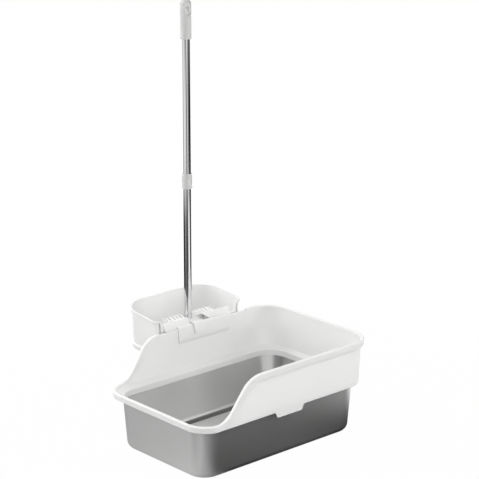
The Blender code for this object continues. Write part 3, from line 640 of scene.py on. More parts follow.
guard_white = moulded_plastic(
    "guard_white", (0.835, 0.835, 0.825), (0.865, 0.865, 0.858), (0.92, 0.92, 0.915), (0.34, 0.44)
)


def rising(low, high, steps):
    return [low + (high - low) * i / steps for i in range(steps + 1)]


def level_along(places, radius):
    """Step line through (x, drop) places, rounded at each of them."""
    line = [(places[0][0] - radius, places[0][1])]
    for i, (x, drop) in enumerate(places):
        here = Vector((x, drop))
        before = Vector(places[i - 1]) if i else Vector((x - 1.0, drop))
        after = Vector(places[i + 1]) if i + 1 < len(places) else Vector((x + 1.0, drop))
        into = (before - here).normalized()
        out = (after - here).normalized()
        half_turn = into.angle(out) / 2
        reach = min(radius / math.tan(half_turn), 0.45 * min((before - here).length, (after - here).length))
        for t in rising(0.0, 1.0, 6):
            line.append(tuple(here + into * reach * (1 - t) ** 2 + out * reach * t ** 2))
    return line + [(places[-1][0] + radius, places[-1][1])]


def read_level(line, x):
    """Drop of a step line at x, 0 outside it."""
    for (x_a, drop_a), (x_b, drop_b) in zip(line, line[1:]):
        if x_a <= x <= x_b and x_b > x_a:
            return drop_a + (drop_b - drop_a) * ((x - x_a) / (x_b - x_a))
    return 0.0


grip_tab = level_along(TAB_PLACES, TAB_ROUND)
hanger_notch = level_along(NOTCH_PLACES, NOTCH_ROUND)
LOW_RUN = SWEEP_LOW_RADIUS * math.sin(SWEEP_ANGLE)
HIGH_RUN = SWEEP_HIGH_RADIUS * math.sin(SWEEP_ANGLE)
ARCS_RISE = (SWEEP_LOW_RADIUS + SWEEP_HIGH_RADIUS) * (1 - math.cos(SWEEP_ANGLE))
LINE_RUN = (RIM_HIGH - RIM_LOW - ARCS_RISE) / math.tan(SWEEP_ANGLE)
SWEEP_END = SWEEP_START + LOW_RUN + LINE_RUN + HIGH_RUN


def swept_height(x):
    """Height of the rim: low at the entry, an S of two arcs and a line, then high."""
    run = x - SWEEP_START
    if run <= 0:
        return RIM_LOW
    if run < LOW_RUN:
        return RIM_LOW + SWEEP_LOW_RADIUS - math.sqrt(SWEEP_LOW_RADIUS ** 2 - run ** 2)
    if run < LOW_RUN + LINE_RUN:
        start = RIM_LOW + SWEEP_LOW_RADIUS * (1 - math.cos(SWEEP_ANGLE))
        return start + (run - LOW_RUN) * math.tan(SWEEP_ANGLE)
    left = LOW_RUN + LINE_RUN + HIGH_RUN - run
    if left > 0:
        return RIM_HIGH - SWEEP_HIGH_RADIUS + math.sqrt(SWEEP_HIGH_RADIUS ** 2 - left ** 2)
    return RIM_HIGH


straight = GUARD_HALF_LENGTH - GUARD_CORNER
guard_cuts = rising(-straight, SWEEP_END, 40)[1:] + rising(SWEEP_END, straight, 24)[1:-1]
guard_cuts += [x for x, drop in grip_tab + hanger_notch if abs(x) < straight]
guard_cuts = sorted(set(round(x / straight, 6) for x in guard_cuts))
guard_plan = centred_ring(GUARD_HALF_LENGTH, GUARD_HALF_WIDTH, GUARD_CORNER, guard_cuts)


def guard_grow(z):
    return GUARD_FLARE * (z - SKIRT_BOTTOM)


def guard_ring(offset, height):
    """Ring on the wall; height(x, y) gives its level."""
    points = []
    for x, y, nx, ny in guard_plan:
        z = height(x, y)
        reach = guard_grow(z) + offset
        points.append((x + nx * reach, y + ny * reach, z))
    return points


def swept_rings(tops, normals, section):
    """Rings of (outward, up) points carried along an edge, square to it."""
    frames = []
    for i, (top, normal) in enumerate(zip(tops, normals)):
        along = tops[(i + 1) % len(tops)] - tops[i - 1]
        frames.append((top, normal, normal.cross(along).normalized()))
    return [[top + normal * outward + rise * up for top, normal, rise in frames] for outward, up in section]


def rim_level(x, y):
    drop = read_level(hanger_notch, x) if y > 0 else 0.0
    return swept_height(x) - drop


tops = [Vector(point) for point in guard_ring(0.0, rim_level)]
normals = [Vector((nx, ny, 0.0)) for _, _, nx, ny in guard_plan]
outer, inner, groove = RIM_OVERHANG, -GUARD_WALL, RIM_OVERHANG - RIM_SHEET
lip = RIM_LIP
rim_section = arc(lip, -RIM_SHEET - lip, lip, 180, 90, 3)
rim_section += arc(groove - lip, -RIM_SHEET - lip, lip, 90, 0, 3)
rim_section += arc(groove - RIM_TAPER + lip, -RIM_DEPTH + lip, lip, 180, 270, 3)
rim_section += arc(outer - RIM_TAPER - lip, -RIM_DEPTH + lip, lip, -90, 0, 3)
rim_section += arc(outer - RIM_ROUND, -RIM_ROUND, RIM_ROUND, 0, 90, 6)
rim_section += arc(inner + RIM_ROUND, -RIM_ROUND, RIM_ROUND, 90, 180, 6)


def skirt_level(rise):
    """Lower edge of the skirt, which drops at the grip tab on the long sides."""
    side = GUARD_HALF_WIDTH - MILLIMETRE
    return lambda x, y: SKIRT_BOTTOM + rise - (read_level(grip_tab, x) if abs(y) > side else 0.0)


def lip_ring(outward, z):
    """Ring of the drip lip, which clears the pan's inner wall."""
    grow = PAN_FLARE * DRIP_LIP_BOTTOM - PAN_SHEET - DRIP_LIP_CLEARANCE + outward
    ring = centred_ring(PAN_HALF_LENGTH + grow, PAN_HALF_WIDTH + grow, PAN_CORNER + grow, guard_cuts)
    return [(x, y, z) for x, y, _, _ in ring]


def always(value):
    """A place function that gives one value everywhere."""
    return lambda first, second: value


guard_rings = [guard_ring(0.0, skirt_level(lip))] + swept_rings(tops, normals, rim_section)
# Down the inside: the wall, the ledge, the drip lip and back under them to the skirt, with small
# steps round each corner
for inward, up in ((0.0, 0.0020), (0.0006, 0.0006), (0.0020, 0.0)):
    guard_rings.append(guard_ring(-GUARD_WALL - inward, always(LEDGE_TOP + up)))
guard_rings += [
    lip_ring(-DRIP_LIP_SHEET + 0.0016, LEDGE_SEAT + LEDGE_SHEET + 0.0004),
    lip_ring(-DRIP_LIP_SHEET + 0.0004, LEDGE_SEAT + LEDGE_SHEET - 0.0003),
    lip_ring(-DRIP_LIP_SHEET, LEDGE_SEAT + LEDGE_SHEET - 0.0016),
    lip_ring(-DRIP_LIP_SHEET, DRIP_LIP_BOTTOM + 0.0005),
    lip_ring(-DRIP_LIP_SHEET + 0.0005, DRIP_LIP_BOTTOM),
    lip_ring(-0.0005, DRIP_LIP_BOTTOM),
    lip_ring(0.0, DRIP_LIP_BOTTOM + 0.0005),
    lip_ring(0.0, LEDGE_SEAT),
    lip_ring(0.0060, LEDGE_SEAT + 0.0003),
    guard_ring(-GUARD_WALL, always(LEDGE_TOP - LEDGE_SHEET)),
    guard_ring(-GUARD_WALL, skirt_level(lip)),
    guard_ring(-GUARD_WALL + lip, skirt_level(0.0)),
    guard_ring(-lip, skirt_level(0.0)),
]
guard = new_piece("guard_wall", *skin(guard_rings, True), guard_white)
finish_mesh(guard)
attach(guard, "guard_body")
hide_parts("guard")


# Bin. A moulded white tub with one straight wall towards the guard, a bead round its sloping
# rim and a rolled foot. Its straight wall is open above the hanger.
BIN_CENTRE = 0.0478
BIN_FRONT = 0.21169
BIN_HALF_LENGTH = 0.1518
BIN_DEPTH = 0.14749
BIN_NEAR_RADIUS = 0.016
BIN_FAR_RADIUS = 0.066
BIN_DRAFT = 0.065
BIN_WALL = 0.0022
BIN_RIM = 0.2883
BIN_FLOOR = 0.1875
BIN_RIM_SLOPE = 0.1137
BEAD_OUT = 0.0028
BEAD_DEPTH = 0.0050
BEAD_ROUND = 0.0012
FOOT_OUT = 0.0040
FOOT_HEIGHT = 0.0160
FOOT_ROUND = 0.0050
FOOT_STEP = 0.0012
FLOOR_FILLET = 0.010
HANGER_TOP = 0.2598
OPENING_DROP = BIN_RIM - HANGER_TOP + 0.0006
OPENING_PLACES = ((-0.1360, 0.0), (-0.1270, OPENING_DROP), (0.1210, OPENING_DROP), (0.1300, 0.0))
OPENING_ROUND = 0.0060

bin_white = moulded_plastic(
    "bin_white", (0.815, 0.815, 0.808), (0.848, 0.848, 0.842), (0.92, 0.92, 0.915), (0.32, 0.42)
)
front_opening = level_along(OPENING_PLACES, OPENING_ROUND)
bin_straight = BIN_HALF_LENGTH - BIN_NEAR_RADIUS


def bin_plan(drawn, offset):
    """Plan of the tub about its own middle; the near wall carries the opening's cuts."""
    half = BIN_HALF_LENGTH + drawn
    far = BIN_FRONT + BIN_DEPTH + drawn
    near = BIN_FRONT - offset
    near_radius = BIN_NEAR_RADIUS + offset
    far_radius = BIN_FAR_RADIUS + drawn
    ring = plan_ring(-half, half, near, far, near_radius, far_radius)
    cuts = sorted(set(round(x, 6) for x, drop in front_opening if abs(x) < bin_straight))
    return ring + [(x, near, 0.0, -1.0) for x in cuts]


def bin_level(x, y):
    drop = read_level(front_opening, x) if y < BIN_FRONT + 0.0001 else 0.0
    return BIN_RIM + BIN_RIM_SLOPE * (y - BIN_FRONT) - drop


def bin_ring(offset, z):
    drawn = offset - BIN_DRAFT * (BIN_RIM - z)
    return [(x + BIN_CENTRE, y, z) for x, y, _, _ in bin_plan(drawn, offset)]


bin_base = bin_plan(0.0, 0.0)
tops = [Vector((x + BIN_CENTRE, y, bin_level(x, y))) for x, y, _, _ in bin_base]
normals = [Vector((nx, ny, 0.0)) for _, _, nx, ny in bin_base]
bead = BEAD_ROUND
bead_section = [(0.0, -BEAD_DEPTH - MILLIMETRE), (0.0, -BEAD_DEPTH)]
bead_section += arc(BEAD_OUT - bead / 2, -BEAD_DEPTH + bead / 2, bead / 2, -90, 0, 3)
bead_section += arc(BEAD_OUT - bead, -bead, bead, 0, 90, 4)
bead_section += arc(-BIN_WALL + bead, -bead, bead, 90, 180, 4)
bead_section += [(-BIN_WALL, -BEAD_DEPTH)]
foot_top = BIN_FLOOR + FOOT_HEIGHT
foot_centre = FOOT_OUT - FOOT_ROUND
foot = arc(foot_centre, BIN_FLOOR + FOOT_ROUND, FOOT_ROUND, -90, 0, 8)
foot += arc(foot_centre, foot_top - FOOT_ROUND, FOOT_ROUND, 0, 75, 8) + [(0.0, foot_top + FOOT_STEP)]
bin_rings = [bin_ring(*point) for point in foot] + swept_rings(tops, normals, bead_section)
inside = arc(-BIN_WALL - FLOOR_FILLET, BIN_FLOOR + BIN_WALL + FLOOR_FILLET, FLOOR_FILLET, 0, -90, 8)
bin_rings += [bin_ring(*point) for point in inside]
bin_tub = new_piece("bin_tub", *skin(bin_rings, False), bin_white)
finish_mesh(bin_tub)
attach(bin_tub, "bin_body")
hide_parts("bin")


# Hanger. Moulded with the bin: a level plate in the guard's notch, a fold over the rim with a
# tab that hangs inside the guard, and a rolled cover in two halves either side of the scoop's hook.
HANGER_FRONT = 0.19505
HANGER_BACK = BIN_FRONT + BIN_WALL / 2
HANGER_SHEET = 0.0025
HANGER_ENTRY_REACH = 0.1262
HANGER_BACK_REACH = 0.1062
FOLD_RISE = 0.0045
FOLD_DEPTH = 0.0085
FOLD_ROUND = 0.0030
PLATE_ROUND = 0.0008
# Air between seated pieces, and the nudge that keeps faces of one moulding from coinciding
SEAT_GAP = 0.0003
NUDGE = 0.0002
TAB_HALF_TOP = 0.0898
TAB_HALF_BOTTOM = 0.0888
TAB_SHEET = 0.0022
TAB_LENGTH = 0.0418
TAB_CORNER = 0.0050
TAB_EDGE = 0.0005
TAB_FADE = 0.0160
TAB_JOIN = 0.0030
COVER_RISE = 0.0167
COVER_SETBACK = 0.0065
COVER_DEPTH = 0.0138
COVER_SHEET = 0.0022
COVER_ROUND = 0.0090
COVER_BACK_RISE = 0.0010
COVER_BACK = BIN_FRONT + COVER_DEPTH
HANGER_EDGE, COVER_EDGE = 0.0005, 0.0006
HOOK_HALF = 0.0185
SCOOP_CENTRE = BIN_CENTRE - 0.0193
OPENING_LEFT = SCOOP_CENTRE - HOOK_HALF - 0.0012
OPENING_RIGHT_FRONT = BIN_CENTRE + 0.0349
OPENING_RIGHT_BACK = BIN_CENTRE + 0.0008


def long_form(section, left_end, right_end):
    """Solid with a (y, z) section; left_end(y, z) and right_end(y, z) give its ends in x."""
    left = [(left_end(y, z), y, z) for y, z in section]
    right = [(right_end(y, z), y, z) for y, z in section]
    return skin([left, right], False)


def tongue_ends(centre, low, length, half_low, half_high, corner):
    """Ends of a hanging tongue, which has a slight taper and rounded lower corners."""
    def half_at(z):
        up = z - low
        half = half_low + (half_high - half_low) * min(1.0, max(0.0, up / length))
        if up < corner:
            half -= corner - math.sqrt(max(0.0, corner ** 2 - (corner - up) ** 2))
        return half

    return (lambda y, z: centre - half_at(z)), (lambda y, z: centre + half_at(z))


plate_low, plate_round = HANGER_TOP - HANGER_SHEET, PLATE_ROUND
plate_section = [(HANGER_BACK, plate_low), (HANGER_BACK, HANGER_TOP)]
plate_section += arc(HANGER_FRONT + plate_round, HANGER_TOP - plate_round, plate_round, 90, 180, 4)
plate_section += arc(HANGER_FRONT + plate_round, plate_low + plate_round, plate_round, 180, 270, 4)
plate_ends = (always(BIN_CENTRE - HANGER_ENTRY_REACH), always(BIN_CENTRE + HANGER_BACK_REACH))
hanger_plate = new_piece("hanger_plate", *long_form(plate_section, *plate_ends), bin_white)

fold_top = HANGER_TOP + FOLD_RISE
tab_low = HANGER_TOP - TAB_LENGTH
fold_front, fold_back, fold_round = HANGER_FRONT - NUDGE, HANGER_FRONT - NUDGE + FOLD_DEPTH, FOLD_ROUND


def tab_face(z):
    """Back face of the tab, just clear of the guard's wall."""
    return GUARD_HALF_WIDTH + guard_grow(z) - GUARD_WALL - SEAT_GAP


def tab_front(z):
    """Front face of the tab, which thins out to a fine lower edge."""
    share = min(1.0, (z - tab_low) / TAB_FADE)
    return tab_face(z) - TAB_EDGE - (TAB_SHEET - TAB_EDGE) * math.sin(share * math.pi / 2)


fold_base = HANGER_TOP - HANGER_SHEET / 2
tab_section = [(tab_face(z), z) for z in rising(tab_low, tab_low + TAB_CORNER, 6)]
tab_section += [(tab_face(tab_low + TAB_FADE), tab_low + TAB_FADE)]
tab_section += [(tab_face(fold_base - TAB_JOIN), fold_base - TAB_JOIN)]
tab_section += [(fold_back, fold_base), (fold_back, fold_top - fold_round)]
tab_section += arc(fold_back - fold_round, fold_top - fold_round, fold_round, 0, 90, 6)
tab_section += arc(fold_front + fold_round, fold_top - fold_round, fold_round, 90, 180, 6)
tab_section += [(tab_face(fold_base) - TAB_SHEET, fold_base - MILLIMETRE)]
tab_section += [(tab_front(z), z) for z in rising(tab_low, tab_low + TAB_FADE, 5)[:1:-1]]
tab_section += [(tab_front(z), z) for z in rising(tab_low, tab_low + TAB_CORNER, 6)[::-1]]
tab_ends = tongue_ends(BIN_CENTRE, tab_low, TAB_LENGTH, TAB_HALF_BOTTOM, TAB_HALF_TOP, TAB_CORNER)
hanger_tab = new_piece("hanger_tab", *long_form(tab_section, *tab_ends), bin_white)


def cover_edge(inset):
    crown_z = HANGER_TOP + COVER_RISE - COVER_ROUND
    crown = arc(COVER_BACK - COVER_ROUND, crown_z, COVER_ROUND - inset, 112, 0, 14)
    front = (HANGER_FRONT + COVER_SETBACK, HANGER_TOP - inset)
    return [front] + crown + [(COVER_BACK - inset, HANGER_TOP + COVER_BACK_RISE)]


def opening_right(y, z):
    """Right side of the opening for the hook, which widens towards the front."""
    crown_y = COVER_BACK - COVER_ROUND / 2
    share = min(1.0, max(0.0, (crown_y - y) / (crown_y - HANGER_FRONT - COVER_SETBACK)))
    return OPENING_RIGHT_BACK + (OPENING_RIGHT_FRONT - OPENING_RIGHT_BACK) * share


def cut_or_add(piece, operation, vertices, faces):
    """Boolean with a helper form, applied at once; the helper is removed."""
    helper = new_piece("helper", vertices, faces, piece.data.materials[0])
    step = piece.modifiers.new("form", "BOOLEAN")
    step.operation = operation
    step.solver = "EXACT"
    step.object = helper
    bake_steps(piece)
    bpy.data.objects.remove(helper, do_unlink=True)


cover_section = cover_edge(0.0) + cover_edge(COVER_SHEET)[::-1]
cover_left = BIN_CENTRE - HANGER_ENTRY_REACH + NUDGE
entry_ends = (always(cover_left), always(OPENING_LEFT))
back_ends = (opening_right, always(BIN_CENTRE + HANGER_BACK_REACH - NUDGE))
cover_entry = new_piece("hanger_cover_entry", *long_form(cover_section, *entry_ends), bin_white)
cover_back = new_piece("hanger_cover_back", *long_form(cover_section, *back_ends), bin_white)
end_wall = long_form(cover_edge(0.0), always(cover_left), always(cover_left + COVER_SHEET))
cut_or_add(cover_entry, "UNION", *end_wall)
for piece in (hanger_plate, hanger_tab, cover_entry, cover_back):
    finish_mesh(piece, COVER_EDGE if piece in (cover_entry, cover_back) else HANGER_EDGE)
    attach(piece, "bin_body")


# Scoop head. One white moulding: a level shelf that bends down into the blade, slots that run
# over the bend, side cheeks, and a pocket for the pole with a hook over the rim.
SCOOP_HALF_WIDTH = 0.0812
SCOOP_SHEET = 0.0024
SHELF_FRONT = COVER_BACK + 0.0010
SHELF_DEPTH = 0.0265
HOOK_SHEET = 0.0026
TONGUE_TOP = fold_top + SEAT_GAP + HOOK_SHEET
SHELF_RISE = 0.0069
SHELF_CLIMB = 0.0040
SHELF_TOP = TONGUE_TOP + SHELF_RISE
SHELF_CREST = SHELF_TOP + SHELF_CLIMB
SCOOP_BEND = 0.0080
BLADE_LENGTH = 0.0781
BLADE_LEAN = 0.0060
CHEEK_SHEET = 0.0024
CHEEK_FRONT_DEPTH = 0.0150
SLOT_COUNT = 5
SLOT_PITCH = 0.0120
SLOT_WIDTH = 0.0054
SLOT_FIRST = 0.0275
SLOT_FRONT_STRIP = 0.0020
SLOT_LENGTH = 0.0601
SLOT_ROUNDING = 0.46
SLOT_PAST_BLADE, SLOT_PAST_SHELF = 0.02, 0.01
POCKET_HALF = 0.0195
HOOK_HALF_BOTTOM = 0.0145
HOOK_LEG_LENGTH = 0.0297
HOOK_CORNER = 0.0040
HOOK_BEND = 0.0032
HOOK_FILLET = 0.0008
HOOK_CLEARANCE = 0.0012
SOCKET_RADIUS = 0.0135
SOCKET_DEPTH = 0.0400
SOCKET_BORE = 0.0083
SOCKET_STEPS = 64
POLE_Y = 0.23619
SCOOP_EDGE = 0.0004

scoop_white = moulded_plastic(
    "scoop_white", (0.850, 0.850, 0.842), (0.880, 0.880, 0.873), (0.93, 0.93, 0.925), (0.30, 0.40)
)


def scoop_edge(inset):
    back = SHELF_FRONT + SHELF_DEPTH
    bend = arc(back - SCOOP_BEND, SHELF_CREST - SCOOP_BEND, SCOOP_BEND - inset, 90, 0, 10)
    tip = (back - inset + BLADE_LEAN, SHELF_TOP - BLADE_LENGTH)
    return [(SHELF_FRONT, SHELF_TOP - inset)] + bend + [tip]


def across(section, x_min, x_max):
    """Long form with square ends, from the scoop's middle."""
    return long_form(section, always(SCOOP_CENTRE + x_min), always(SCOOP_CENTRE + x_max))


def box_section(y_min, y_max, z_min, z_max):
    return [(y_min, z_min), (y_max, z_min), (y_max, z_max), (y_min, z_max)]


half = SCOOP_HALF_WIDTH
sheet = scoop_edge(0.0) + scoop_edge(SCOOP_SHEET)[::-1]
scoop = new_piece("scoop_head", *across(sheet, -half, half), scoop_white)

# Sifting slots, cut by a row of round-ended bars set out along the shelf
slot_tree, given, result = new_group("sifting_slots", (
    ("Scoop", "NodeSocketGeometry", None),
    ("Count", "NodeSocketInt", SLOT_COUNT),
    ("Pitch", "NodeSocketFloat", SLOT_PITCH),
    ("Slot Width", "NodeSocketFloat", SLOT_WIDTH),
    ("Slot Run", "NodeSocketFloat", 0.04),
    ("Slot Height", "NodeSocketFloat", SLOT_LENGTH),
    ("First Slot", "NodeSocketVector", (0.0, 0.0, 0.0)),
    ("Plastic", "NodeSocketMaterial", None),
), [("Slotted", "NodeSocketGeometry")], "GeometryNodeTree")
slot_tree.is_modifier = True
slot_sockets = {item.name: item.identifier for item in slot_tree.interface.items_tree}


def slot_step(kind, output, links, **settings):
    """Add a node with its inputs fed by label; gives one output."""
    node = add_node(slot_tree, kind, **settings)
    for label, source in links.items():
        feed(slot_tree, source, node.inputs[label])
    return node.outputs[output]


outline = slot_step("GeometryNodeCurvePrimitiveQuadrilateral", "Curve", {
    "Width": given["Slot Width"], "Height": given["Slot Run"],
})
corner = math_step(slot_tree, "MULTIPLY", given["Slot Width"], SLOT_ROUNDING)
outline = slot_step("GeometryNodeFilletCurve", "Curve", {
    "Curve": outline, "Count": 5, "Radius": corner,
}, mode="POLY")
face = slot_step("GeometryNodeFillCurve", "Mesh", {"Curve": outline}, mode="NGONS")
raised = slot_step("GeometryNodeExtrudeMesh", "Mesh", {
    "Mesh": face, "Offset Scale": given["Slot Height"],
}, mode="FACES")
underside = slot_step("GeometryNodeFlipFaces", "Mesh", {"Mesh": face})
bar = add_node(slot_tree, "GeometryNodeJoinGeometry")
for source in (raised, underside):
    join(slot_tree, source, bar.inputs[0])
bar = slot_step("GeometryNodeMergeByDistance", "Geometry", {
    "Geometry": bar.outputs[0], "Distance": 0.00001,
})
pitch = slot_step("ShaderNodeCombineXYZ", "Vector", {"X": given["Pitch"]})
row = slot_step("GeometryNodeMeshLine", "Mesh", {
    "Count": given["Count"], "Start Location": given["First Slot"], "Offset": pitch,
}, mode="OFFSET")
bars = slot_step("GeometryNodeInstanceOnPoints", "Instances", {"Points": row, "Instance": bar})
bars = slot_step("GeometryNodeRealizeInstances", "Geometry", {"Geometry": bars})
cut = slot_step("GeometryNodeMeshBoolean", "Mesh", {
    "Mesh 1": given["Scoop"], "Mesh 2": bars,
}, operation="DIFFERENCE", solver="EXACT")
cut = slot_step("GeometryNodeRealizeInstances", "Geometry", {"Geometry": cut})
cut = slot_step("GeometryNodeSetMaterial", "Geometry", {"Geometry": cut, "Material": given["Plastic"]})
join(slot_tree, cut, result["Slotted"])

slot_start = SHELF_FRONT + SLOT_FRONT_STRIP
slot_run = SHELF_FRONT + SHELF_DEPTH + 2 * BLADE_LEAN - slot_start + SLOT_PAST_BLADE
slot_centre_y = slot_start + slot_run / 2
row_length = (SLOT_COUNT - 1) * SLOT_PITCH
for first in (SCOOP_CENTRE - SLOT_FIRST - row_length, SCOOP_CENTRE + SLOT_FIRST):
    step = scoop.modifiers.new("sifting_slots", "NODES")
    step.node_group = slot_tree
    step[slot_sockets["Slot Run"]] = slot_run
    step[slot_sockets["Slot Height"]] = SLOT_LENGTH + SLOT_PAST_SHELF
    step[slot_sockets["First Slot"]] = (first, slot_centre_y, SHELF_TOP - SLOT_LENGTH)
    step[slot_sockets["Plastic"]] = scoop_white
    bake_steps(scoop)

cheek_section = scoop_edge(NUDGE) + [(SHELF_FRONT + NUDGE, SHELF_TOP - CHEEK_FRONT_DEPTH)]
side_wall = SCOOP_HALF_WIDTH - NUDGE - CHEEK_SHEET
for side in (-1, 1):
    for inner_x in (side_wall, POCKET_HALF):
        ends = sorted((side * inner_x, side * (inner_x + CHEEK_SHEET)))
        cut_or_add(scoop, "UNION", *across(cheek_section, *ends))
floor_low = TONGUE_TOP - HOOK_SHEET
pocket_back = SHELF_FRONT + SHELF_DEPTH - SCOOP_SHEET
floor_middle = TONGUE_TOP - HOOK_SHEET / 2
pocket = box_section(SHELF_FRONT - MILLIMETRE, pocket_back, floor_middle, SHELF_CREST + SCOOP_SHEET)
pocket_half = POCKET_HALF + NUDGE
cut_or_add(scoop, "DIFFERENCE", *across(pocket, -pocket_half, pocket_half))
pocket_floor = box_section(SHELF_FRONT + NUDGE, pocket_back + SCOOP_SHEET / 2, floor_low, TONGUE_TOP)
floor_half = POCKET_HALF + CHEEK_SHEET / 2
cut_or_add(scoop, "UNION", *across(pocket_floor, -floor_half, floor_half))


def leg_face(z):
    """Inner face of the hook's leg, clear of the bin's tab."""
    return tab_face(z) - TAB_SHEET - HOOK_CLEARANCE - HOOK_SHEET


leg_low = TONGUE_TOP - HOOK_LEG_LENGTH
lip_y = leg_face(floor_low)
hook_back = SHELF_FRONT + SCOOP_SHEET
hook_low, hook_high = floor_low + NUDGE, TONGUE_TOP - NUDGE
leg_end = rising(leg_low, leg_low + HOOK_CORNER, 6)
hook_section = [(hook_back, hook_low), (hook_back, hook_high)]
hook_section += arc(lip_y + HOOK_BEND, hook_high - HOOK_BEND, HOOK_BEND, 90, 180, 8)
hook_section += [(leg_face(z), z) for z in leg_end[::-1]]
hook_section += [(leg_face(z) + HOOK_SHEET, z) for z in leg_end]
hook_section += [(leg_face(floor_low - MILLIMETRE) + HOOK_SHEET, hook_low - HOOK_FILLET)]
hook_section += [(lip_y + HOOK_SHEET + HOOK_FILLET, hook_low)]
# The tongue over the rim is straight; the leg below it tapers to its rounded end
leg_length = hook_low - leg_low
hook_ends = tongue_ends(SCOOP_CENTRE, leg_low, leg_length, HOOK_HALF_BOTTOM, HOOK_HALF, HOOK_CORNER)
cut_or_add(scoop, "UNION", *long_form(hook_section, *hook_ends))


def turned(profile, closed, steps):
    """Turned form about the pole's axis from (radius, z) points."""
    turns = [2 * math.pi * i / steps for i in range(steps)]
    rings = [
        [(SCOOP_CENTRE + radius * math.cos(t), POLE_Y + radius * math.sin(t), z) for t in turns]
        for radius, z in profile
    ]
    return skin(rings, closed)


boss_low = TONGUE_TOP - SOCKET_DEPTH
boss = [(SOCKET_RADIUS, boss_low), (SOCKET_RADIUS, floor_middle)]
bore = [(SOCKET_BORE, boss_low - 10 * MILLIMETRE), (SOCKET_BORE, TONGUE_TOP + 10 * MILLIMETRE)]
cut_or_add(scoop, "UNION", *turned(boss, False, SOCKET_STEPS))
cut_or_add(scoop, "DIFFERENCE", *turned(bore, False, SOCKET_STEPS))
smooth_faces(scoop.data)
finish_mesh(scoop, SCOOP_EDGE)
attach(scoop, "scoop_body")
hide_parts("scoop_head")


# Pole tubes. Two lengths of thin steel tube, chromed and bright, butted inside the collar. The
# lower one screws into the scoop's socket, and the upper one into the lower.
TUBE_RADIUS = 0.0110
TUBE_WALL = 0.0006
TUBE_EDGE = 0.0002
TUBE_STEPS = 96
POLE_FOOT = TONGUE_TOP
POLE_JOINT = POLE_FOOT + 0.3810
POLE_TOP = POLE_JOINT + 0.4381
AIR = 0.0003

chromed, tree, shader = new_material("bright_chrome")
shader.inputs["Metallic"].default_value = 1.0
at = on_object(tree)
drawn = noise(tree, stretched(tree, at, (900.0, 900.0, 3.0)), 1.0, 2.0, 0.5)
smear = noise(tree, stretched(tree, at, (60.0, 60.0, 9.0)), 1.0, 4.0, 0.6)
join(tree, tint(tree, smear, (0.735, 0.738, 0.745), (0.790, 0.792, 0.797)), shader.inputs["Base Color"])
rough = math_step(tree, "ADD", spread(tree, smear, 0.05, 0.09), spread(tree, drawn, 0.0, 0.02))
join(tree, rough, shader.inputs["Roughness"])
join(tree, bump(tree, drawn, 0.02, 0.000004), shader.inputs["Normal"])


def tube_form(bottom, top):
    inner_radius = TUBE_RADIUS - TUBE_WALL
    profile = [
        (TUBE_RADIUS - TUBE_EDGE, bottom), (TUBE_RADIUS, bottom + TUBE_EDGE),
        (TUBE_RADIUS, top - TUBE_EDGE), (TUBE_RADIUS - TUBE_EDGE, top),
        (inner_radius, top), (inner_radius, bottom),
    ]
    return turned(profile, True, TUBE_STEPS)


tubes = (("lower_pole_tube", "lower_tube", "lower_pole", POLE_FOOT, POLE_JOINT),
         ("upper_pole_tube", "upper_tube", "upper_pole", POLE_JOINT, POLE_TOP))
for name, node, body, bottom, top in tubes:
    tube = new_piece(name, *tube_form(bottom + AIR, top), chromed)
    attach(tube, body)
    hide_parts(node)


# Collar. A short white sleeve, moulded with bevelled ends, that sits on the lower tube over the
# pole's joint.
COLLAR_RADIUS = 0.0135
COLLAR_HALF = 0.0203
COLLAR_BEVEL = 0.0012
COLLAR_SMOOTH = 50.0

# Painted shade: this white is set far darker than the other mouldings' white, so that the collar looks
# shaded
collar_white_painted_shade = moulded_plastic(
    "collar_white_painted_shade", (0.630, 0.630, 0.625), (0.665, 0.665, 0.660), (0.71, 0.71, 0.705), (0.26, 0.36), 0.0005
)
low, high = POLE_JOINT - COLLAR_HALF, POLE_JOINT + COLLAR_HALF
sleeve = [
    (COLLAR_RADIUS - COLLAR_BEVEL, low), (COLLAR_RADIUS - COLLAR_BEVEL * 0.25, low + COLLAR_BEVEL * 0.7),
    (COLLAR_RADIUS, low + COLLAR_BEVEL * 1.6), (COLLAR_RADIUS, high - COLLAR_BEVEL * 1.6),
    (COLLAR_RADIUS - COLLAR_BEVEL * 0.25, high - COLLAR_BEVEL * 0.7), (COLLAR_RADIUS - COLLAR_BEVEL, high),
    (TUBE_RADIUS + AIR, high), (TUBE_RADIUS + AIR, low),
]
collar = new_piece("pole_collar", *turned(sleeve, True, TUBE_STEPS), collar_white_painted_shade, COLLAR_SMOOTH)
finish_mesh(collar)
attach(collar, "lower_pole")
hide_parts("joint_collar")


# End cap. A white moulded grip pressed over the tube's top, domed, with an oval dish on each
# face and a hang hole through the web between the dishes.
CAP_RADIUS = 0.0146
CAP_COVER = 0.0576
CAP_RISE = 0.0441
CAP_DOME = 0.0100
CAP_TIP = 0.00012
CAP_LIP = 0.0010
CAP_EDGE = 0.0007
CAP_TURN = math.radians(-7.0)
DISH_HALF_WIDTH = 0.0115
DISH_HALF_HEIGHT = 0.43 * CAP_RISE
DISH_CENTRE = POLE_TOP + 0.494 * CAP_RISE
WEB_HALF = 0.0085
HOLE_HALF_WIDTH = 0.0050
HOLE_HALF_HEIGHT = 0.215 * CAP_RISE
HOLE_CENTRE = POLE_TOP + 0.415 * CAP_RISE
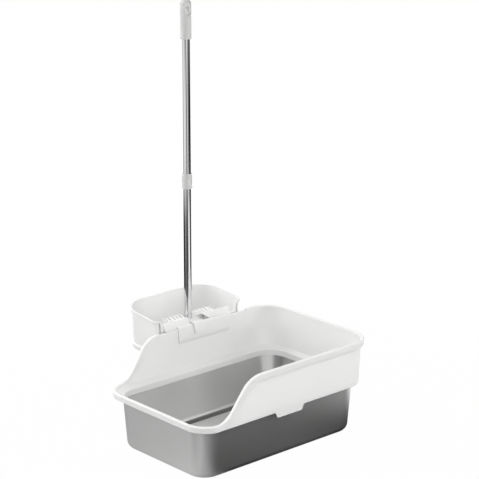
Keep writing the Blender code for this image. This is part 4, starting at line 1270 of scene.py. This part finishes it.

# Painted shade: this white is set far darker than the other mouldings' white, so that the cap looks shaded
cap_white_painted_shade = moulded_plastic(
    "cap_white_painted_shade", (0.625, 0.625, 0.620), (0.655, 0.655, 0.650), (0.70, 0.70, 0.695), (0.28, 0.38), 0.0005
)
low, high = POLE_TOP - CAP_COVER, POLE_TOP + CAP_RISE - CAP_TIP
socket_radius, socket_end = TUBE_RADIUS + AIR, POLE_TOP + AIR
cap_profile = [(socket_radius - TUBE_RADIUS / 2, socket_end)]
cap_profile += [(socket_radius, socket_end), (socket_radius, low)]
cap_profile += arc(CAP_RADIUS - CAP_LIP, low + CAP_LIP, CAP_LIP, -90, 0, 4)
cap_profile += arc(CAP_RADIUS - CAP_DOME, high - CAP_DOME, CAP_DOME, 0, 84, 12)
cap = new_piece("pole_cap", *turned(cap_profile, False, TUBE_STEPS), cap_white_painted_shade)


def oval(half_width, half_height, centre):
    up = arc(0, centre + half_height - half_width, half_width, 0, 180, 20)
    down = arc(0, centre - half_height + half_width, half_width, 180, 360, 20)
    return up + down


def cap_cut(outline, near, far):
    """Cutter through the cap along its own face, turned with the cap."""
    turn = Matrix.Rotation(CAP_TURN, 3, "Z")
    axis = Vector((SCOOP_CENTRE, POLE_Y, 0.0))
    rings = [[axis + turn @ Vector((x, depth, z)) for x, z in outline] for depth in (near, far)]
    return skin(rings, False)


outside = 2 * CAP_RADIUS
dish = oval(DISH_HALF_WIDTH, DISH_HALF_HEIGHT, DISH_CENTRE)
hang_hole = oval(HOLE_HALF_WIDTH, HOLE_HALF_HEIGHT, HOLE_CENTRE)
cuts = ((dish, -outside, -WEB_HALF), (dish, WEB_HALF, outside), (hang_hole, -outside, outside))
for cut in cuts:
    cut_or_add(cap, "DIFFERENCE", *cap_cut(*cut))
smooth_faces(cap.data)
finish_mesh(cap, CAP_EDGE, 3)
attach(cap, "upper_pole")
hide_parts("end_cap")


# Plugs and insert. White plastic fittings closed inside the tubes; the plugs carry the screw
# studs. Their CAD forms are kept and only take the plastic.
plug_white = moulded_plastic(
    "plug_white", (0.80, 0.80, 0.79), (0.84, 0.84, 0.83), (0.90, 0.90, 0.89), (0.40, 0.50)
)
for node in ("foot_plug", "screw_insert", "link_plug"):
    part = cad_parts[node]
    part.data.materials.clear()
    part.data.materials.append(plug_white)
